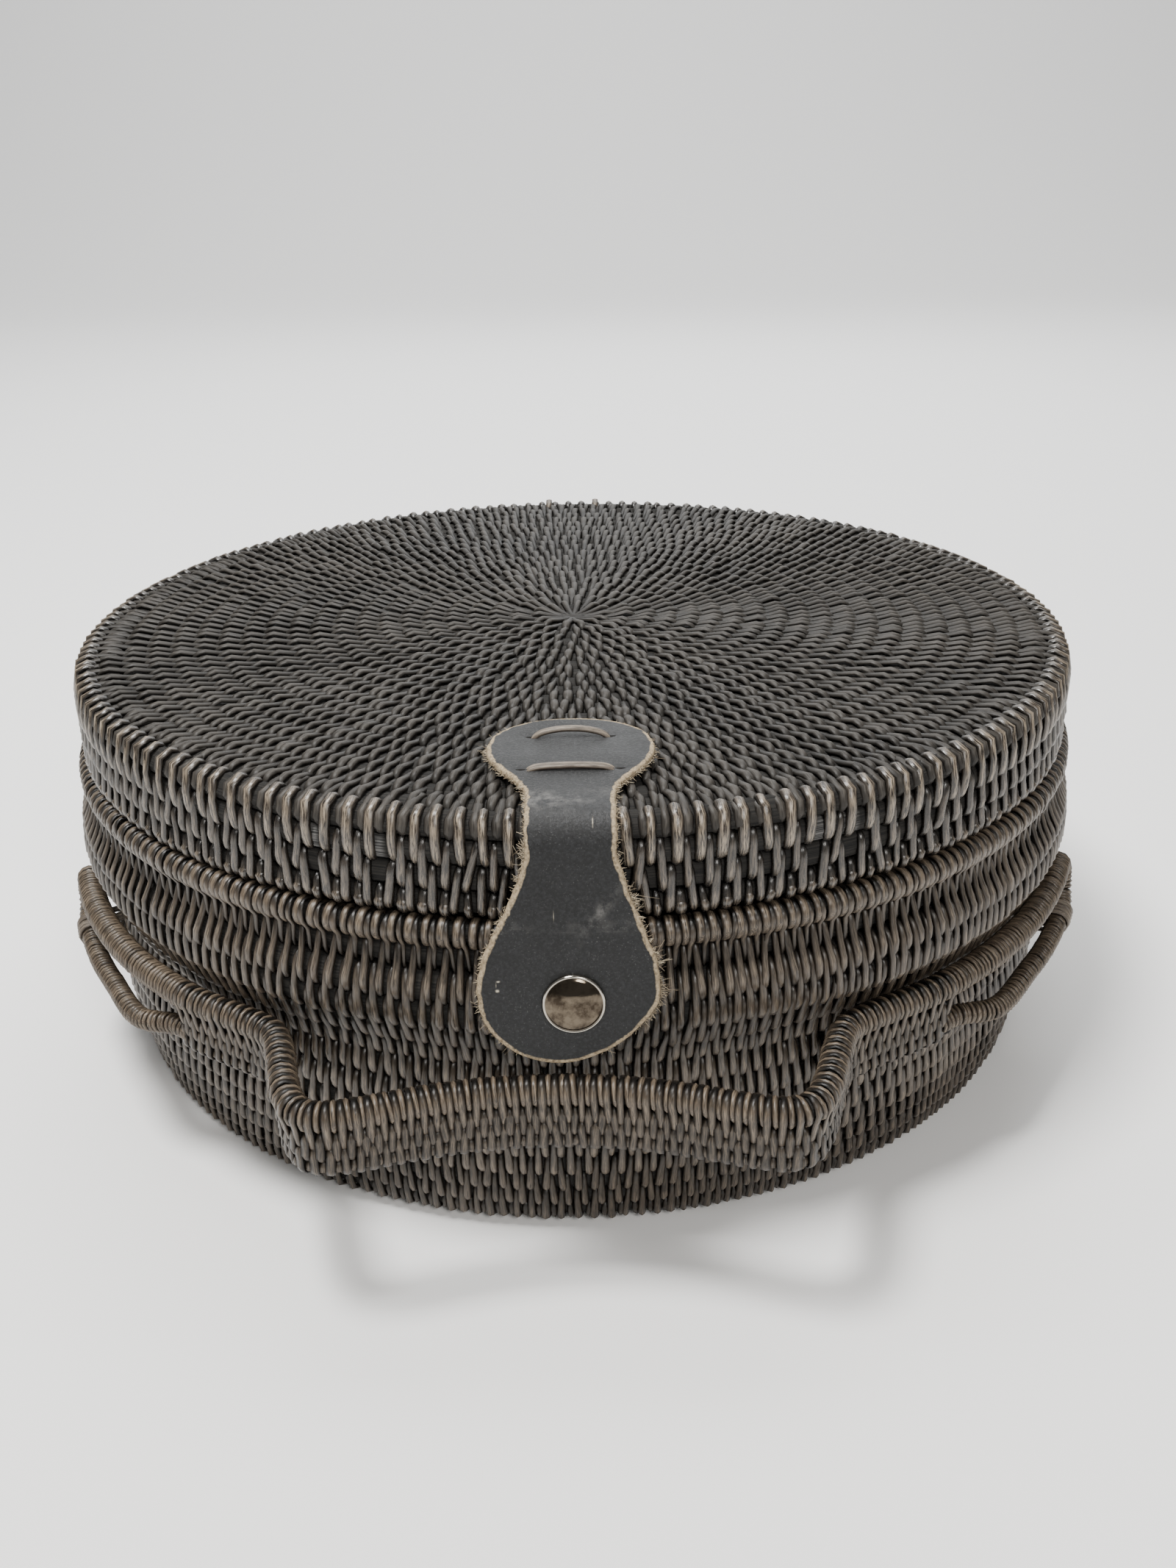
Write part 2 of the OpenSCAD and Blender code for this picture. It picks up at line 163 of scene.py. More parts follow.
class Bundle:
    """Collects strips and cores, then makes one mesh of closed shapes of them."""

    def __init__(self):
        self.verts, self.quads, self.fans, self.shade = [], [], [], []
        self.count = 0

    def tubes(self, verts, shade, closed, flip=False):
        """verts: N tubes of P rings of K points, shade: a colour for each, flip: rings that run the
        other way round. A tube either closes on itself or gets a face at each end."""
        n, p, k, _ = verts.shape
        index = self.count + np.arange(n * p * k).reshape(n, p, k)
        ahead = np.roll(index, -1, 1) if closed else index[:, 1:]
        here = index if closed else index[:, :-1]
        quads = np.stack([here, np.roll(here, -1, 2), np.roll(ahead, -1, 2), ahead], -1)
        ends = np.concatenate([index[:, 0, ::-1], index[:, -1]])
        if flip:
            quads, ends = quads[..., [0, 3, 2, 1]], ends[:, ::-1]
        self.quads.append(quads.reshape(-1, 4))
        if not closed:
            self.fans.append(ends)
        self.verts.append(verts.reshape(-1, 3))
        self.shade.append(shade.reshape(-1, 4))
        self.count += n * p * k

    def add(self, path, side, width, thick, crown=1.0, tone=None, closed=True, section=SECTION):
        """path: N strips of P points, side: the across direction at each, width and thick: their sizes,
        crown: 0 where a point is deep in the weave and 1 where it is on top, tone: one number a strip."""
        n, p, _ = path.shape
        side = np.broadcast_to(side, path.shape)
        width, thick, crown = [np.broadcast_to(v, (n, p))[:, :, None] for v in (width, thick, crown)]
        tone = rng.random(n) if tone is None else tone
        ahead = np.roll(path, -1, 1) - np.roll(path, 1, 1) if closed else np.gradient(path, axis=1)
        tangent = unit(ahead)
        side = unit(side - tangent * (side * tangent).sum(-1, keepdims=True))
        out = np.cross(side, tangent)
        across, rise = section.T[:, :, None]
        verts = (path[:, :, None] + side[:, :, None] * across * (width / 2)[..., None]
                 + out[:, :, None] * rise * (thick / 2)[..., None])
        length = np.linalg.norm(np.diff(path, axis=1, prepend=path[:, :1]), axis=-1).cumsum(1)
        shade = np.empty((n, p, len(section), 4))
        shade[..., 0] = tone[:, None, None]
        shade[..., 1] = (length / SHADE_LENGTH)[:, :, None]
        shade[..., 2] = section[:, 0] * 0.5 + 0.5
        shade[..., 3] = crown
        self.tubes(verts, shade, closed)

    def piece(self, name):
        verts, shade = np.concatenate(self.verts), np.concatenate(self.shade)
        verts[:, 2] = np.maximum(verts[:, 2], 0)
        return mesh_object(name, verts, [np.concatenate(self.quads)] + self.fans, shade)


def place(piece, body, material, slot, *nodes):
    """Gives a piece its material, hides the CAD nodes it stands for and puts it on the body it rides on;
    slot is not used.
    """
    piece.data.materials.append(material)
    if nodes:
        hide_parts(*nodes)
    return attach(piece, body)


# ---------------------------------------------------------------- coiled surfaces


class Profile:
    """A line in the (radius, height) plane through the middle of a coiled surface, by arc length."""

    def __init__(self, points, outside):
        self.points = np.array(points, float)
        step = np.linalg.norm(np.diff(self.points, axis=0), axis=1)
        self.at = np.concatenate([[0], step.cumsum()])
        self.length = self.at[-1]
        self.outside = outside

    def point(self, s):
        start, end = unit(self.points[1] - self.points[0]), unit(self.points[-1] - self.points[-2])
        before, past = np.minimum(s, 0)[..., None], np.maximum(s - self.length, 0)[..., None]
        inside = np.stack([np.interp(s, self.at, self.points[:, i]) for i in (0, 1)], -1)
        return inside + before * start + past * end

    def normal(self, s):
        """The direction across the surface, on its outer side."""
        step = 1.5 * MM
        along = unit(self.point(s + step) - self.point(s - step))
        return np.stack([-along[..., 1], along[..., 0]], -1) * self.outside


def round_corner(a, corner, b, radius, steps=8):
    """Points of the arc that rounds a right-angled corner between two straight runs."""
    corner = np.array(corner)
    u, v = unit(np.array(a) - corner), unit(np.array(b) - corner)
    centre = corner + radius * (u + v)
    turns = np.linspace(0, math.pi / 2, steps)
    return [centre - radius * (v * math.cos(t) + u * math.sin(t)) for t in turns]


def loop_stations():
    """How a strip runs round two neighbouring rods: over the far rod, the near rod and back below. Each
    row is which rod it belongs to (1 far, 0 near), how far it leans past that rod towards the valley,
    and how high it lies, as shares of the valley's distance and of the rod's half height."""
    over, under = np.radians([0, 18, 38, 60, 90]), np.radians([42, 90])
    over_far = [(1.0, math.cos(a), math.sin(a)) for a in over]
    over_near = [(0.0, -math.cos(a), math.sin(a)) for a in over[::-1]]
    below_near = [(0.0, -math.cos(a), -math.sin(a)) for a in under]
    below_far = [(1.0, math.cos(a), -math.sin(a)) for a in under[::-1]]
    middle, middle_below = [(0.5, 0.0, 0.93)], [(0.5, 0.0, -0.93)]
    return np.array(over_far + middle + over_near + below_near + middle_below + below_far)


STATIONS = loop_stations()

# Core rods: faces round the small, the usual and the bare ones, how thick they are as a share of the
# surface's half height, and how far they reach past the valleys between them
COARSE_SEGMENTS, SEGMENTS, FINE_SEGMENTS = 48, 96, 720
CORE_SHARE, CORE_OVERLAP = 0.5, 1.04


def stitch_row(bundle, profile, near, far, valley_near, valley_far, half_near, half_far, angles,
               width, thick, section=SECTION, taper=0.30, lean=0.05, sink=0.0, stray=0.03, dip=0.26):
    """One row of cane stitches round the coil rods at arc lengths near and far of a profile.
    half_near and half_far are the outer half heights of the surface at those rods, taper narrows the
    strips towards the near rod, lean is how much they stray from straight, sink lowers their far ends and
    dip their near ends, and stray is how unevenly they are spaced."""
    n = len(angles)
    angles = angles + stray * FULL_TURN / n * rng.normal(0, 1, n)
    which, past, rise = STATIONS.T
    ahead = np.sign(far - near)
    s = near + (far - near) * which + ahead * past * np.where(which > 0.5, valley_far, valley_near)
    half = half_near + (half_far - half_near) * which - thick * 0.5
    jitter = rng.normal(0, 1, (n, 1))
    lift = vary(0.035, n, 1)
    tuck = np.where(rise > 0, 1 - dip * (1 - which), 1.0)
    height = half * rise * tuck * lift - sink * which
    s = s + (far - near) * 0.03 * jitter * past
    flat = profile.point(s) + profile.normal(s) * height[..., None]
    lean_per_strip = lean * rng.normal(0, 1, (n, 1))
    pitch_angle = np.abs(far - near) / np.maximum(flat[..., 0], 4 * MM)
    turn = angles[:, None] + lean_per_strip * pitch_angle * (s - (near + far) / 2) / (far - near)
    leaf = np.interp(np.abs(rise), [0, 0.3, 0.75, 1], [0.52, 0.78, 0.98, 1.0]) * (1 - taper * (1 - which))
    # the crown is lowered towards each stitch's near end, so the paints darken the tails under the next
    # row: painted shade
    bundle.add(turned(flat[..., 0], turn, flat[..., 1]), round_axis(turn) * profile.outside * ahead,
               width * vary(0.09, n, 1) * leaf, thick * (0.75 + 0.25 * np.abs(rise)),
               np.abs(rise) * (1 - dip * (1 - which)), section=section)


class Coil:
    """A surface of rods coiled along a profile: their arc lengths, half heights and rows of stitches."""

    def __init__(self, profile, at, halves, rows):
        self.profile, self.at, self.halves, self.rows = profile, at, halves, rows

    def valley(self, i, side):
        """Distance from rod i to the valley beyond it, on the outer (1) or inner (-1) side."""
        j = i + side
        if j < 0:
            return self.at[0]
        if j >= len(self.at):
            return (self.at[i] - self.at[i - 1]) * 0.42
        return abs(self.at[j] - self.at[i]) / 2

    def stitches(self, bundle, first, last, width, thick, backward=False, **more):
        """Rows of stitches, each from rod i - 1 out to rod i, or from rod i back to rod i - 1."""
        for i in range(first, last):
            near, far, beyond = (i, i - 1, -1) if backward else (i - 1, i, 1)
            stitch_row(bundle, self.profile, self.at[near], self.at[far], self.valley(near, -beyond),
                       self.valley(far, beyond), self.halves[near], self.halves[far], self.rows[i],
                       width, thick, **more)

    def core(self, bundle, i, across_half, along_half=None, segments=None, bare=()):
        """The bundle of fibres inside rod i, painted dark as shade: an oval ring round the axis, pale at
        the bare angles.
        """
        along_half = along_half or self.valley(i, 1) * CORE_OVERLAP
        segments = segments or (COARSE_SEGMENTS if i < 6 else SEGMENTS)
        oval, k = spaced(8), 8
        centre, normal = [f(np.array([self.at[i]]))[0] for f in (self.profile.point, self.profile.normal)]
        along = np.array([normal[1], -normal[0]])
        ring = (centre + np.outer(np.cos(oval) * along_half, along)
                + np.outer(np.sin(oval) * across_half, normal))
        turns = spaced(segments)
        radius = np.maximum(ring[:, 0], 0.3 * MM)
        shade = np.zeros((1, segments, k, 4))
        shade[..., 0] = rng.random()
        shade[..., 1] = radius * turns[:, None] / SHADE_LENGTH
        shade[..., 2] = np.arange(k) / k
        for angle in bare:
            shade[:, angle_between(turns, angle) < BARE_HALF, :, 3] = 1.0
        bundle.tubes(turned(radius, turns[:, None], ring[:, 1])[None], shade, True, flip=True)


def angle_between(turns, angle):
    return np.abs((turns - angle + math.pi) % FULL_TURN - math.pi)


def next_row(angles, count):
    """Angles of the next row's stitches: one between every two, with extra ones let in evenly."""
    gaps = np.append(angles[1:], angles[0] + FULL_TURN) - angles
    extra = count - len(angles)
    share = 0.5 + np.clip(0.13 * rng.normal(), -0.25, 0.25)
    if extra <= 0:
        return angles + gaps * share
    places = (np.arange(extra) + rng.random(extra) * 0.7) * len(angles) / extra
    doubled = np.zeros(len(angles), bool)
    doubled[np.minimum(places.astype(int), len(angles) - 1)] = True
    row = []
    for start, gap, two in zip(angles, gaps, doubled):
        row += [start + gap * 0.27, start + gap * 0.73] if two else [start + gap * share]
    row = np.array(row)
    for _ in range(10):
        before, after = np.roll(row, 1), np.roll(row, -1)
        before[0] -= FULL_TURN
        after[-1] += FULL_TURN
        row = 0.5 * row + 0.25 * (before + after)
    return row


def flat_rows(radii, spacing):
    """Stitch angles for each ring of a flat coil, from the middle out."""
    rows = [spaced(7)]
    for radius in radii[1:]:
        rows.append(next_row(rows[-1], int(round(FULL_TURN * radius / spacing))))
    return rows


# ---------------------------------------------------------------- the lid's cane

STRIP_THICK = 1.6 * MM
LID_STRIP = 2.95 * MM
LID_SPACING = 4.75 * MM
LID_RINGS = 21
LID_BEND_R = 3.2 * MM
EDGE_ROD, SKIRT_ROD = LID_RINGS, LID_RINGS + 1
EDGE_STITCHES = 172
SKIRT_STRIP = 3.1 * MM
SKIRT_ROWS = 3

# Angles from the front where a stitch of the skirt's first row is gone and the core shows
BARE_ANGLES = np.radians([-24.0, -17.5, 22.5, 26.0])
BARE_HALF = 2.4 * MM / lid_r

lid_mid_z = lid_top_z - lid_half
edge_mid = lid_r - lid_half


def lid_coil():
    """The lid's rods: rings out from the middle, the edge rod, and the skirt's rods down from it."""
    corner, foot = (edge_mid, lid_mid_z), (edge_mid, skirt_low_z)
    bend = round_corner((0, lid_mid_z), corner, foot, LID_BEND_R)
    profile = Profile([(0, lid_mid_z)] + bend + [foot], 1.0)
    edge_at = profile.length - (lid_mid_z - skirt_low_z) + 0.8 * MM
    ring_at = (np.arange(LID_RINGS) + 0.5) * (edge_at - 4 * MM) / LID_RINGS
    pitch = (profile.length - edge_at - lid_edge_radius) / (SKIRT_ROWS - 0.02)
    skirt_at = edge_at + lid_edge_radius + pitch * (np.arange(SKIRT_ROWS) + 0.5)
    at = np.concatenate([ring_at, [edge_at], skirt_at])
    halves = np.full(len(at), lid_half)
    halves[EDGE_ROD] += 0.9 * MM
    rows = flat_rows(ring_at, LID_SPACING)
    rows.append(spaced(EDGE_STITCHES))
    for _ in range(SKIRT_ROWS):
        rows.append(next_row(rows[-1], EDGE_STITCHES))
    return Coil(profile, at, halves, rows), pitch


lid, skirt_pitch = lid_coil()


def lid_cane(cane_top, cane_skirt, cane_edge, core):
    for part, first, end, nodes in (("inner", 1, 13, ["lid_top"]), ("middle", 13, 18, ["lid_top"]),
                                    ("outer", 18, EDGE_ROD, ["lid_top", "lid_edge_rod"])):
        top = Bundle()
        lid.stitches(top, first, end, LID_STRIP, STRIP_THICK, taper=0.12, stray=0.10, dip=0.58)
        if end == EDGE_ROD:
            lid.stitches(top, EDGE_ROD, SKIRT_ROD, LID_STRIP * 1.02, STRIP_THICK, taper=0.12, stray=0.06,
                         sink=0.9 * MM)
        place(top.piece(f"lid_cane_{part}"), "lid", cane_top, "cane_lid", *nodes)
    edge, skirt, rods = Bundle(), Bundle(), Bundle()
    lid.stitches(edge, SKIRT_ROD, SKIRT_ROD + 1, SKIRT_STRIP * 1.12, STRIP_THICK * 1.15, taper=0.0,
                 stray=0.07, dip=0.05)
    for angle in BARE_ANGLES:
        row = lid.rows[SKIRT_ROD + 1]
        lid.rows[SKIRT_ROD + 1] = np.delete(row, angle_between(row, angle).argmin())
    lid.stitches(skirt, SKIRT_ROD + 1, len(lid.at), SKIRT_STRIP, STRIP_THICK * 1.1, taper=0.05,
                 lean=0.08, stray=0.04, dip=0.2)
    end = lid.at[-1]
    stitch_row(skirt, lid.profile, end - 0.2 * MM, end + 0.5 * MM, skirt_pitch * 0.45, skirt_pitch * 0.47,
               lid_half, lid_half, next_row(lid.rows[-1], EDGE_STITCHES), SKIRT_STRIP, STRIP_THICK,
               taper=0.1)
    for i, half in enumerate(lid.halves):
        if i == SKIRT_ROD:
            lid.core(rods, i, half * 0.7, segments=FINE_SEGMENTS, bare=BARE_ANGLES)
        else:
            lid.core(rods, i, half * CORE_SHARE)
    place(edge.piece("lid_cane_edge"), "lid", cane_edge, "cane_lid", "lid_edge_rod")
    place(skirt.piece("lid_cane_skirt"), "lid", cane_skirt, "cane_lid", "lid_skirt")
    place(rods.piece("lid_core_rods"), "lid", core, "cane_lid", "lid_top", "lid_skirt")


# ---------------------------------------------------------------- the body's cane

WALL_STRIP = 2.65 * MM
WALL_STITCHES = 250
WALL_ROWS = 12
BASE_RINGS = 20
FOOT_BEND_R = 3.5 * MM
BASE_SPACING = 4.1 * MM
RIM_WRAP = 2.1 * MM
SHORT_WRAP = RIM_WRAP * 1.28

wall_half = base_thick / 2


def body_coil():
    """The body's rods: the base's rings, a rod round its corner, the wall's rods and the thick rim."""
    heights = np.linspace(base_thick, rim_z - rim_radius, 40)
    radii = np.interp(heights, *outer_profile("body_wall")) - wall_half
    bend = round_corner((0, wall_half), (radii[0], wall_half), (radii[0], 1), FOOT_BEND_R)
    wall = list(zip(radii, heights))[1:]
    profile = Profile([(0, wall_half)] + bend + wall + [(rim_r, rim_z)], -1.0)
    corner_at = float(np.interp(wall_half + 1.5 * MM, profile.points[5:, 1], profile.at[5:]))
    base_at = (np.arange(BASE_RINGS) + 0.5) * (corner_at - 4 * MM) / BASE_RINGS
    wall_top_at = profile.length - rim_radius - 3.6 * MM
    growth = np.linspace(0.80, 1.20, WALL_ROWS)
    wall_at = corner_at + (wall_top_at - corner_at) * growth.cumsum() / growth.sum()
    at = np.concatenate([base_at, [corner_at], wall_at, [profile.length]])
    halves = np.append(np.full(len(at) - 1, wall_half), rim_radius)
    rows = flat_rows(base_at, BASE_SPACING)
    while len(rows) < len(at):
        rows.append(next_row(rows[-1], WALL_STITCHES))
    return Coil(profile, at, halves, rows)


wall_coil = body_coil()


def body_cane(cane_wall, cane_foot, cane_rim, core):
    last = len(wall_coil.at) - 1
    for name, first, end in (("inner", 1, 14), ("middle", 14, 18), ("outer", 18, BASE_RINGS)):
        base = Bundle()
        wall_coil.stitches(base, first, end, LID_STRIP, STRIP_THICK, section=SECTION_LIGHT)
        place(base.piece(f"base_cane_{name}"), "basket", cane_wall, "cane_wall", "base_disc")
    for part, start in enumerate(range(BASE_RINGS, last, 4)):
        wall = Bundle()
        wall_coil.stitches(wall, start, min(start + 4, last), WALL_STRIP, STRIP_THICK, True, taper=0.16,
                           dip=0.24)
        paint = cane_wall if part else cane_foot
        place(wall.piece(f"wall_cane_{part + 1}"), "basket", paint, "cane_wall", "body_wall")
    rim, rods = Bundle(), Bundle()
    long_wraps = wall_coil.rows[last]
    stitch_row(rim, wall_coil.profile, wall_coil.at[last - 1], wall_coil.at[last],
               wall_coil.valley(last - 1, -1), rim_radius - STRIP_THICK / 2, wall_half, rim_radius,
               long_wraps, RIM_WRAP, STRIP_THICK, section=SECTION_WRAP)
    rim_wraps(rim, next_row(long_wraps, len(long_wraps)))
    place(rim.piece("rim_cane"), "basket", cane_rim, "cane_rim", "body_rim")
    for i in range(last):
        wall_coil.core(rods, i, wall_half * CORE_SHARE)
    wall_coil.core(rods, last, rim_radius - STRIP_THICK, rim_radius - STRIP_THICK)
    place(rods.piece("body_core_rods"), "basket", core, "cane_wall", "body_wall", "base_disc")


def rim_wraps(bundle, angles):
    """Short wraps of wide cane round the rim rod alone."""
    n = len(angles)
    oval = spaced(14)
    reach = (rim_radius - STRIP_THICK / 2) * vary(0.02, n, 1)
    turn = angles[:, None] + 0.15 * MM / rim_r * rng.normal(0, 1, (n, 1))
    path = turned(rim_r + reach * np.cos(oval), turn, rim_z + reach * np.sin(oval))
    bundle.add(path, round_axis(turn), SHORT_WRAP * vary(0.08, n, 1), STRIP_THICK, section=SECTION_WRAP)


# ---------------------------------------------------------------- the gallery

GALLERY_R = 179.2 * MM
LOOP_R = 182 * MM
HANDLE_START, HANDLE_END = math.radians(40.5), math.radians(69.5)
GALLERY_RIM = 4.5 * MM
GALLERY_LOOP = 3.5 * MM
GALLERY_RIM_Z = high("gallery_rod_back").z - GALLERY_RIM
LOOP_Z = low("gallery_rod_back").z + GALLERY_LOOP
BAND_HALF = 2.75 * MM
BAND_COILS = 3
band_drop = (high("gallery_band_back").z - low("gallery_band_back").z) / BAND_COILS
GALLERY_TURN, GALLERY_TILT = math.radians(1.5), math.radians(0.6)
WRAP_SPACING = 1.8 * MM

# Width and thickness of the gallery's cane: wraps, long loops, loops of the band and of its last coil
RING_CANE, LONG_CANE = (2.05 * MM, 1.0 * MM), (2.25 * MM, 1.15 * MM)
BAND_CANE, LAST_CANE = (2.5 * MM, 1.1 * MM), (2.4 * MM, 1.1 * MM)
UP = np.array([0, 0, 1])
MIRROR = np.array([-1, 1, 1])


def around(radius, turn):
    return np.array([radius * math.sin(turn), -radius * math.cos(turn)])


def bezier(a, b, count):
    """Points of the curve between two keys [x, y, heading, handle], without its last point."""
    a, b = [np.array(k, float) for k in (a, b)]
    turn_a, turn_b = math.radians(a[2]), math.radians(b[2])
    p1 = a[:2] + a[3] * np.array([math.cos(turn_a), math.sin(turn_a)])
    p2 = b[:2] - b[3] * np.array([math.cos(turn_b), math.sin(turn_b)])
    t = (np.arange(count) / count)[:, None]
    return (1 - t) ** 3 * a[:2] + 3 * (1 - t) ** 2 * t * p1 + 3 * (1 - t) * t * t * p2 + t ** 3 * b[:2]


def ease(a, b, t):
    t = np.clip(t, 0, 1)
    return a + (b - a) * (1 - np.cos(math.pi * t)) / 2


def both_halves(values, flip):
    return np.concatenate([values[:0:-1] * flip, values])


def band_plan():
    """Plan of the band's right half, as in the part's source: two curves, then round the wall."""
    radius, side_turn = GALLERY_R / MM, math.radians(38)
    dip, corner = (0, -188, 0, 38), (66, -198, 27, 11)
    notch = (*around(radius + 0.5, math.radians(27.6)), 44, 9)
    side = (*around(radius, side_turn), 38, 8)
    rest = [around(radius, t) for t in np.linspace(side_turn, HANDLE_START, 4)]
    curves = [bezier(dip, corner, 30), bezier(corner, notch, 30), bezier(notch, side, 12)]
    return np.concatenate(curves + [rest]) * MM


class Rod:
    """A rod's line: points, the direction away from the basket at each, and the rod's radius there."""

    def __init__(self, points, outward, radius):
        step = np.linalg.norm(np.diff(points, axis=0), axis=1)
        self.at = np.concatenate([[0], step.cumsum()])
        self.points, self.outward, self.radius = points, outward, radius

    def pick(self, s, values):
        return np.stack([np.interp(s, self.at, values[:, i]) for i in range(3)], -1)

    def sample(self, s):
        near = 0.6 * MM
        tangent = unit(self.pick(s + near, self.points) - self.pick(s - near, self.points))
        outward = self.pick(s, self.outward)
        outward = unit(outward - tangent * (outward * tangent).sum(-1, keepdims=True))
        return self.pick(s, self.points), tangent, outward, np.interp(s, self.at, self.radius)


def plan_outward(plan):
    heading = unit(np.gradient(plan, axis=0))
    return np.stack([heading[:, 1], -heading[:, 0], np.zeros(len(plan))], -1)


def gallery_rod():
    """The whole rod: loop, hairpin, rim, and the same again on the other side."""
    turns = np.linspace(HANDLE_START, HANDLE_END, 24)[1:]
    rim = np.concatenate([band_plan(), [around(GALLERY_R, t) for t in turns]])
    t = np.linspace(0, 1, 15)[1:]
    turn = HANDLE_END + math.radians(2.5) * np.sin(math.pi * t)
    z = (GALLERY_RIM_Z + LOOP_Z) / 2 + (GALLERY_RIM_Z - LOOP_Z) / 2 * np.cos(math.pi * t)
    hairpin = turned(ease(GALLERY_R, LOOP_R, t), turn, z)
    back = np.linspace(HANDLE_END, HANDLE_START - math.radians(1.2), 30)[1:]
    past = np.degrees(back - HANDLE_START)
    bowed = LOOP_R + 2 * MM
    r = np.where(past < 6, ease(GALLERY_R, bowed, past / 6), ease(bowed, LOOP_R, (past - 6) / 9))
    loop = turned(r, back, ease(LOOP_Z + 3 * MM, LOOP_Z, past / 8))
    rim_points = np.column_stack([rim, np.full(len(rim), GALLERY_RIM_Z)])
    points = np.concatenate([rim_points, hairpin, loop])
    outward = np.concatenate([plan_outward(rim), unit(hairpin * [1, 1, 0]), unit(loop * [1, 1, 0])])
    radius = np.concatenate([np.full(len(rim), GALLERY_RIM), ease(GALLERY_RIM, GALLERY_LOOP, t),
                             np.full(len(loop), GALLERY_LOOP)])
    return Rod(both_halves(points, MIRROR), both_halves(outward, MIRROR), both_halves(radius, 1))


def rod_rings(bundle, rod, s, width, thick):
    """Close wraps of cane round a rod at the arc lengths s."""
    n = len(s)
    centre, tangent, outward, radius = rod.sample(s)
    up = np.cross(outward, tangent)
    oval = spaced(12)[None, :, None]
    reach = ((radius - thick / 2) * vary(0.014, n))[:, None, None]
    shear = ((0.25 + 0.2 * rng.normal(0, 1, n)) * MM)[:, None, None]
    path = (centre[:, None] + reach * (np.cos(oval) * outward[:, None] + np.sin(oval) * up[:, None])
            + shear * np.cos(oval + 1.0) * tangent[:, None])
    bundle.add(path, -tangent[:, None], width * vary(0.10, n, 1), thick, section=SECTION_WRAP)


def band_loops(bundle, rod, s, top, drop, half_top, half_low, width, thick):
    """Loops of cane that bind a rod or coil, top below the rod's line, to the next one drop lower."""
    n = len(s)
    centre, tangent, outward, _ = rod.sample(s)
    which, lean, rise = STATIONS.T
    down = top + drop * (1 - which) - lean * np.where(which > 0.5, half_top - thick / 2, drop / 2)
    out = (half_low + (half_top - half_low) * which - thick / 2) * rise * vary(0.04, n, 1)
    path = centre[:, None] + outward[:, None] * out[..., None] - UP * down[:, None]
    slip = 0.3 * MM * rng.normal(0, 1, (n, 1)) * (which - 0.5)
    leaf = np.interp(np.abs(rise), [0, 0.3, 0.75, 1], [0.6, 0.8, 0.97, 1.0])
    bundle.add(path + slip[..., None] * tangent[:, None], tangent[:, None], width * vary(0.10, n, 1) * leaf,
               thick, np.abs(rise))


def swept_core(bundle, rod, s, drop, half_out, half_up):
    """The core of a rod or of one of the band's coils, painted dark as shade, an oval swept along its line.
    """
    centre, _, outward, _ = rod.sample(s)
    oval, k = spaced(8), 8
    ring = (centre[:, None] + np.cos(oval)[:, None] * half_out * outward[:, None]
            + (np.sin(oval) * half_up - drop)[:, None] * UP)
    shade = np.zeros((1, len(s), k, 4))
    shade[..., 1] = (s / SHADE_LENGTH)[:, None]
    shade[..., 2] = np.arange(k) / k
    bundle.tubes(ring[None], shade, False, flip=True)


def lashing(bundle, middle, side_sign):
    """Turns of cane that bind the loop to the wall, close together on the rod, apart at the wall."""
    turns, run, wall_rise = 5, 14 * MM, 4.6
    which, lean, rise = STATIONS.T
    spread = np.linspace(-1, 1, turns)[:, None]
    reach = np.where(which > 0.5, GALLERY_LOOP + 0.4 * MM, 1 * MM)
    radius = LOOP_R - run * (1 - which) + lean * reach
    height = LOOP_Z + (wall_rise + (GALLERY_LOOP / MM + 0.5 - wall_rise) * which) * MM * rise
    fan = (4.3 + 1.5 * (1 - which)) * MM * spread + 0.5 * MM * rise * rng.normal(0, 1, (turns, 1))
    turn = side_sign * (middle + fan / LOOP_R)
    path = turned(radius, turn, height + 0.25 * MM * rng.normal(0, 1, (turns, 1)))
    bundle.add(path, round_axis(turn), 2.4 * MM * vary(0.1, turns, 1), 1.1 * MM)


def pose_bundle(bundle, turn_z, tilt_y):
    """Turns all of a bundle's points about Z, then about Y."""
    cz, sz, cy, sy = math.cos(turn_z), math.sin(turn_z), math.cos(tilt_y), math.sin(tilt_y)
    matrix = (np.array([[cy, 0, sy], [0, 1, 0], [-sy, 0, cy]])
              @ np.array([[cz, -sz, 0], [sz, cz, 0], [0, 0, 1]]))
    bundle.verts = [v @ matrix.T for v in bundle.verts]


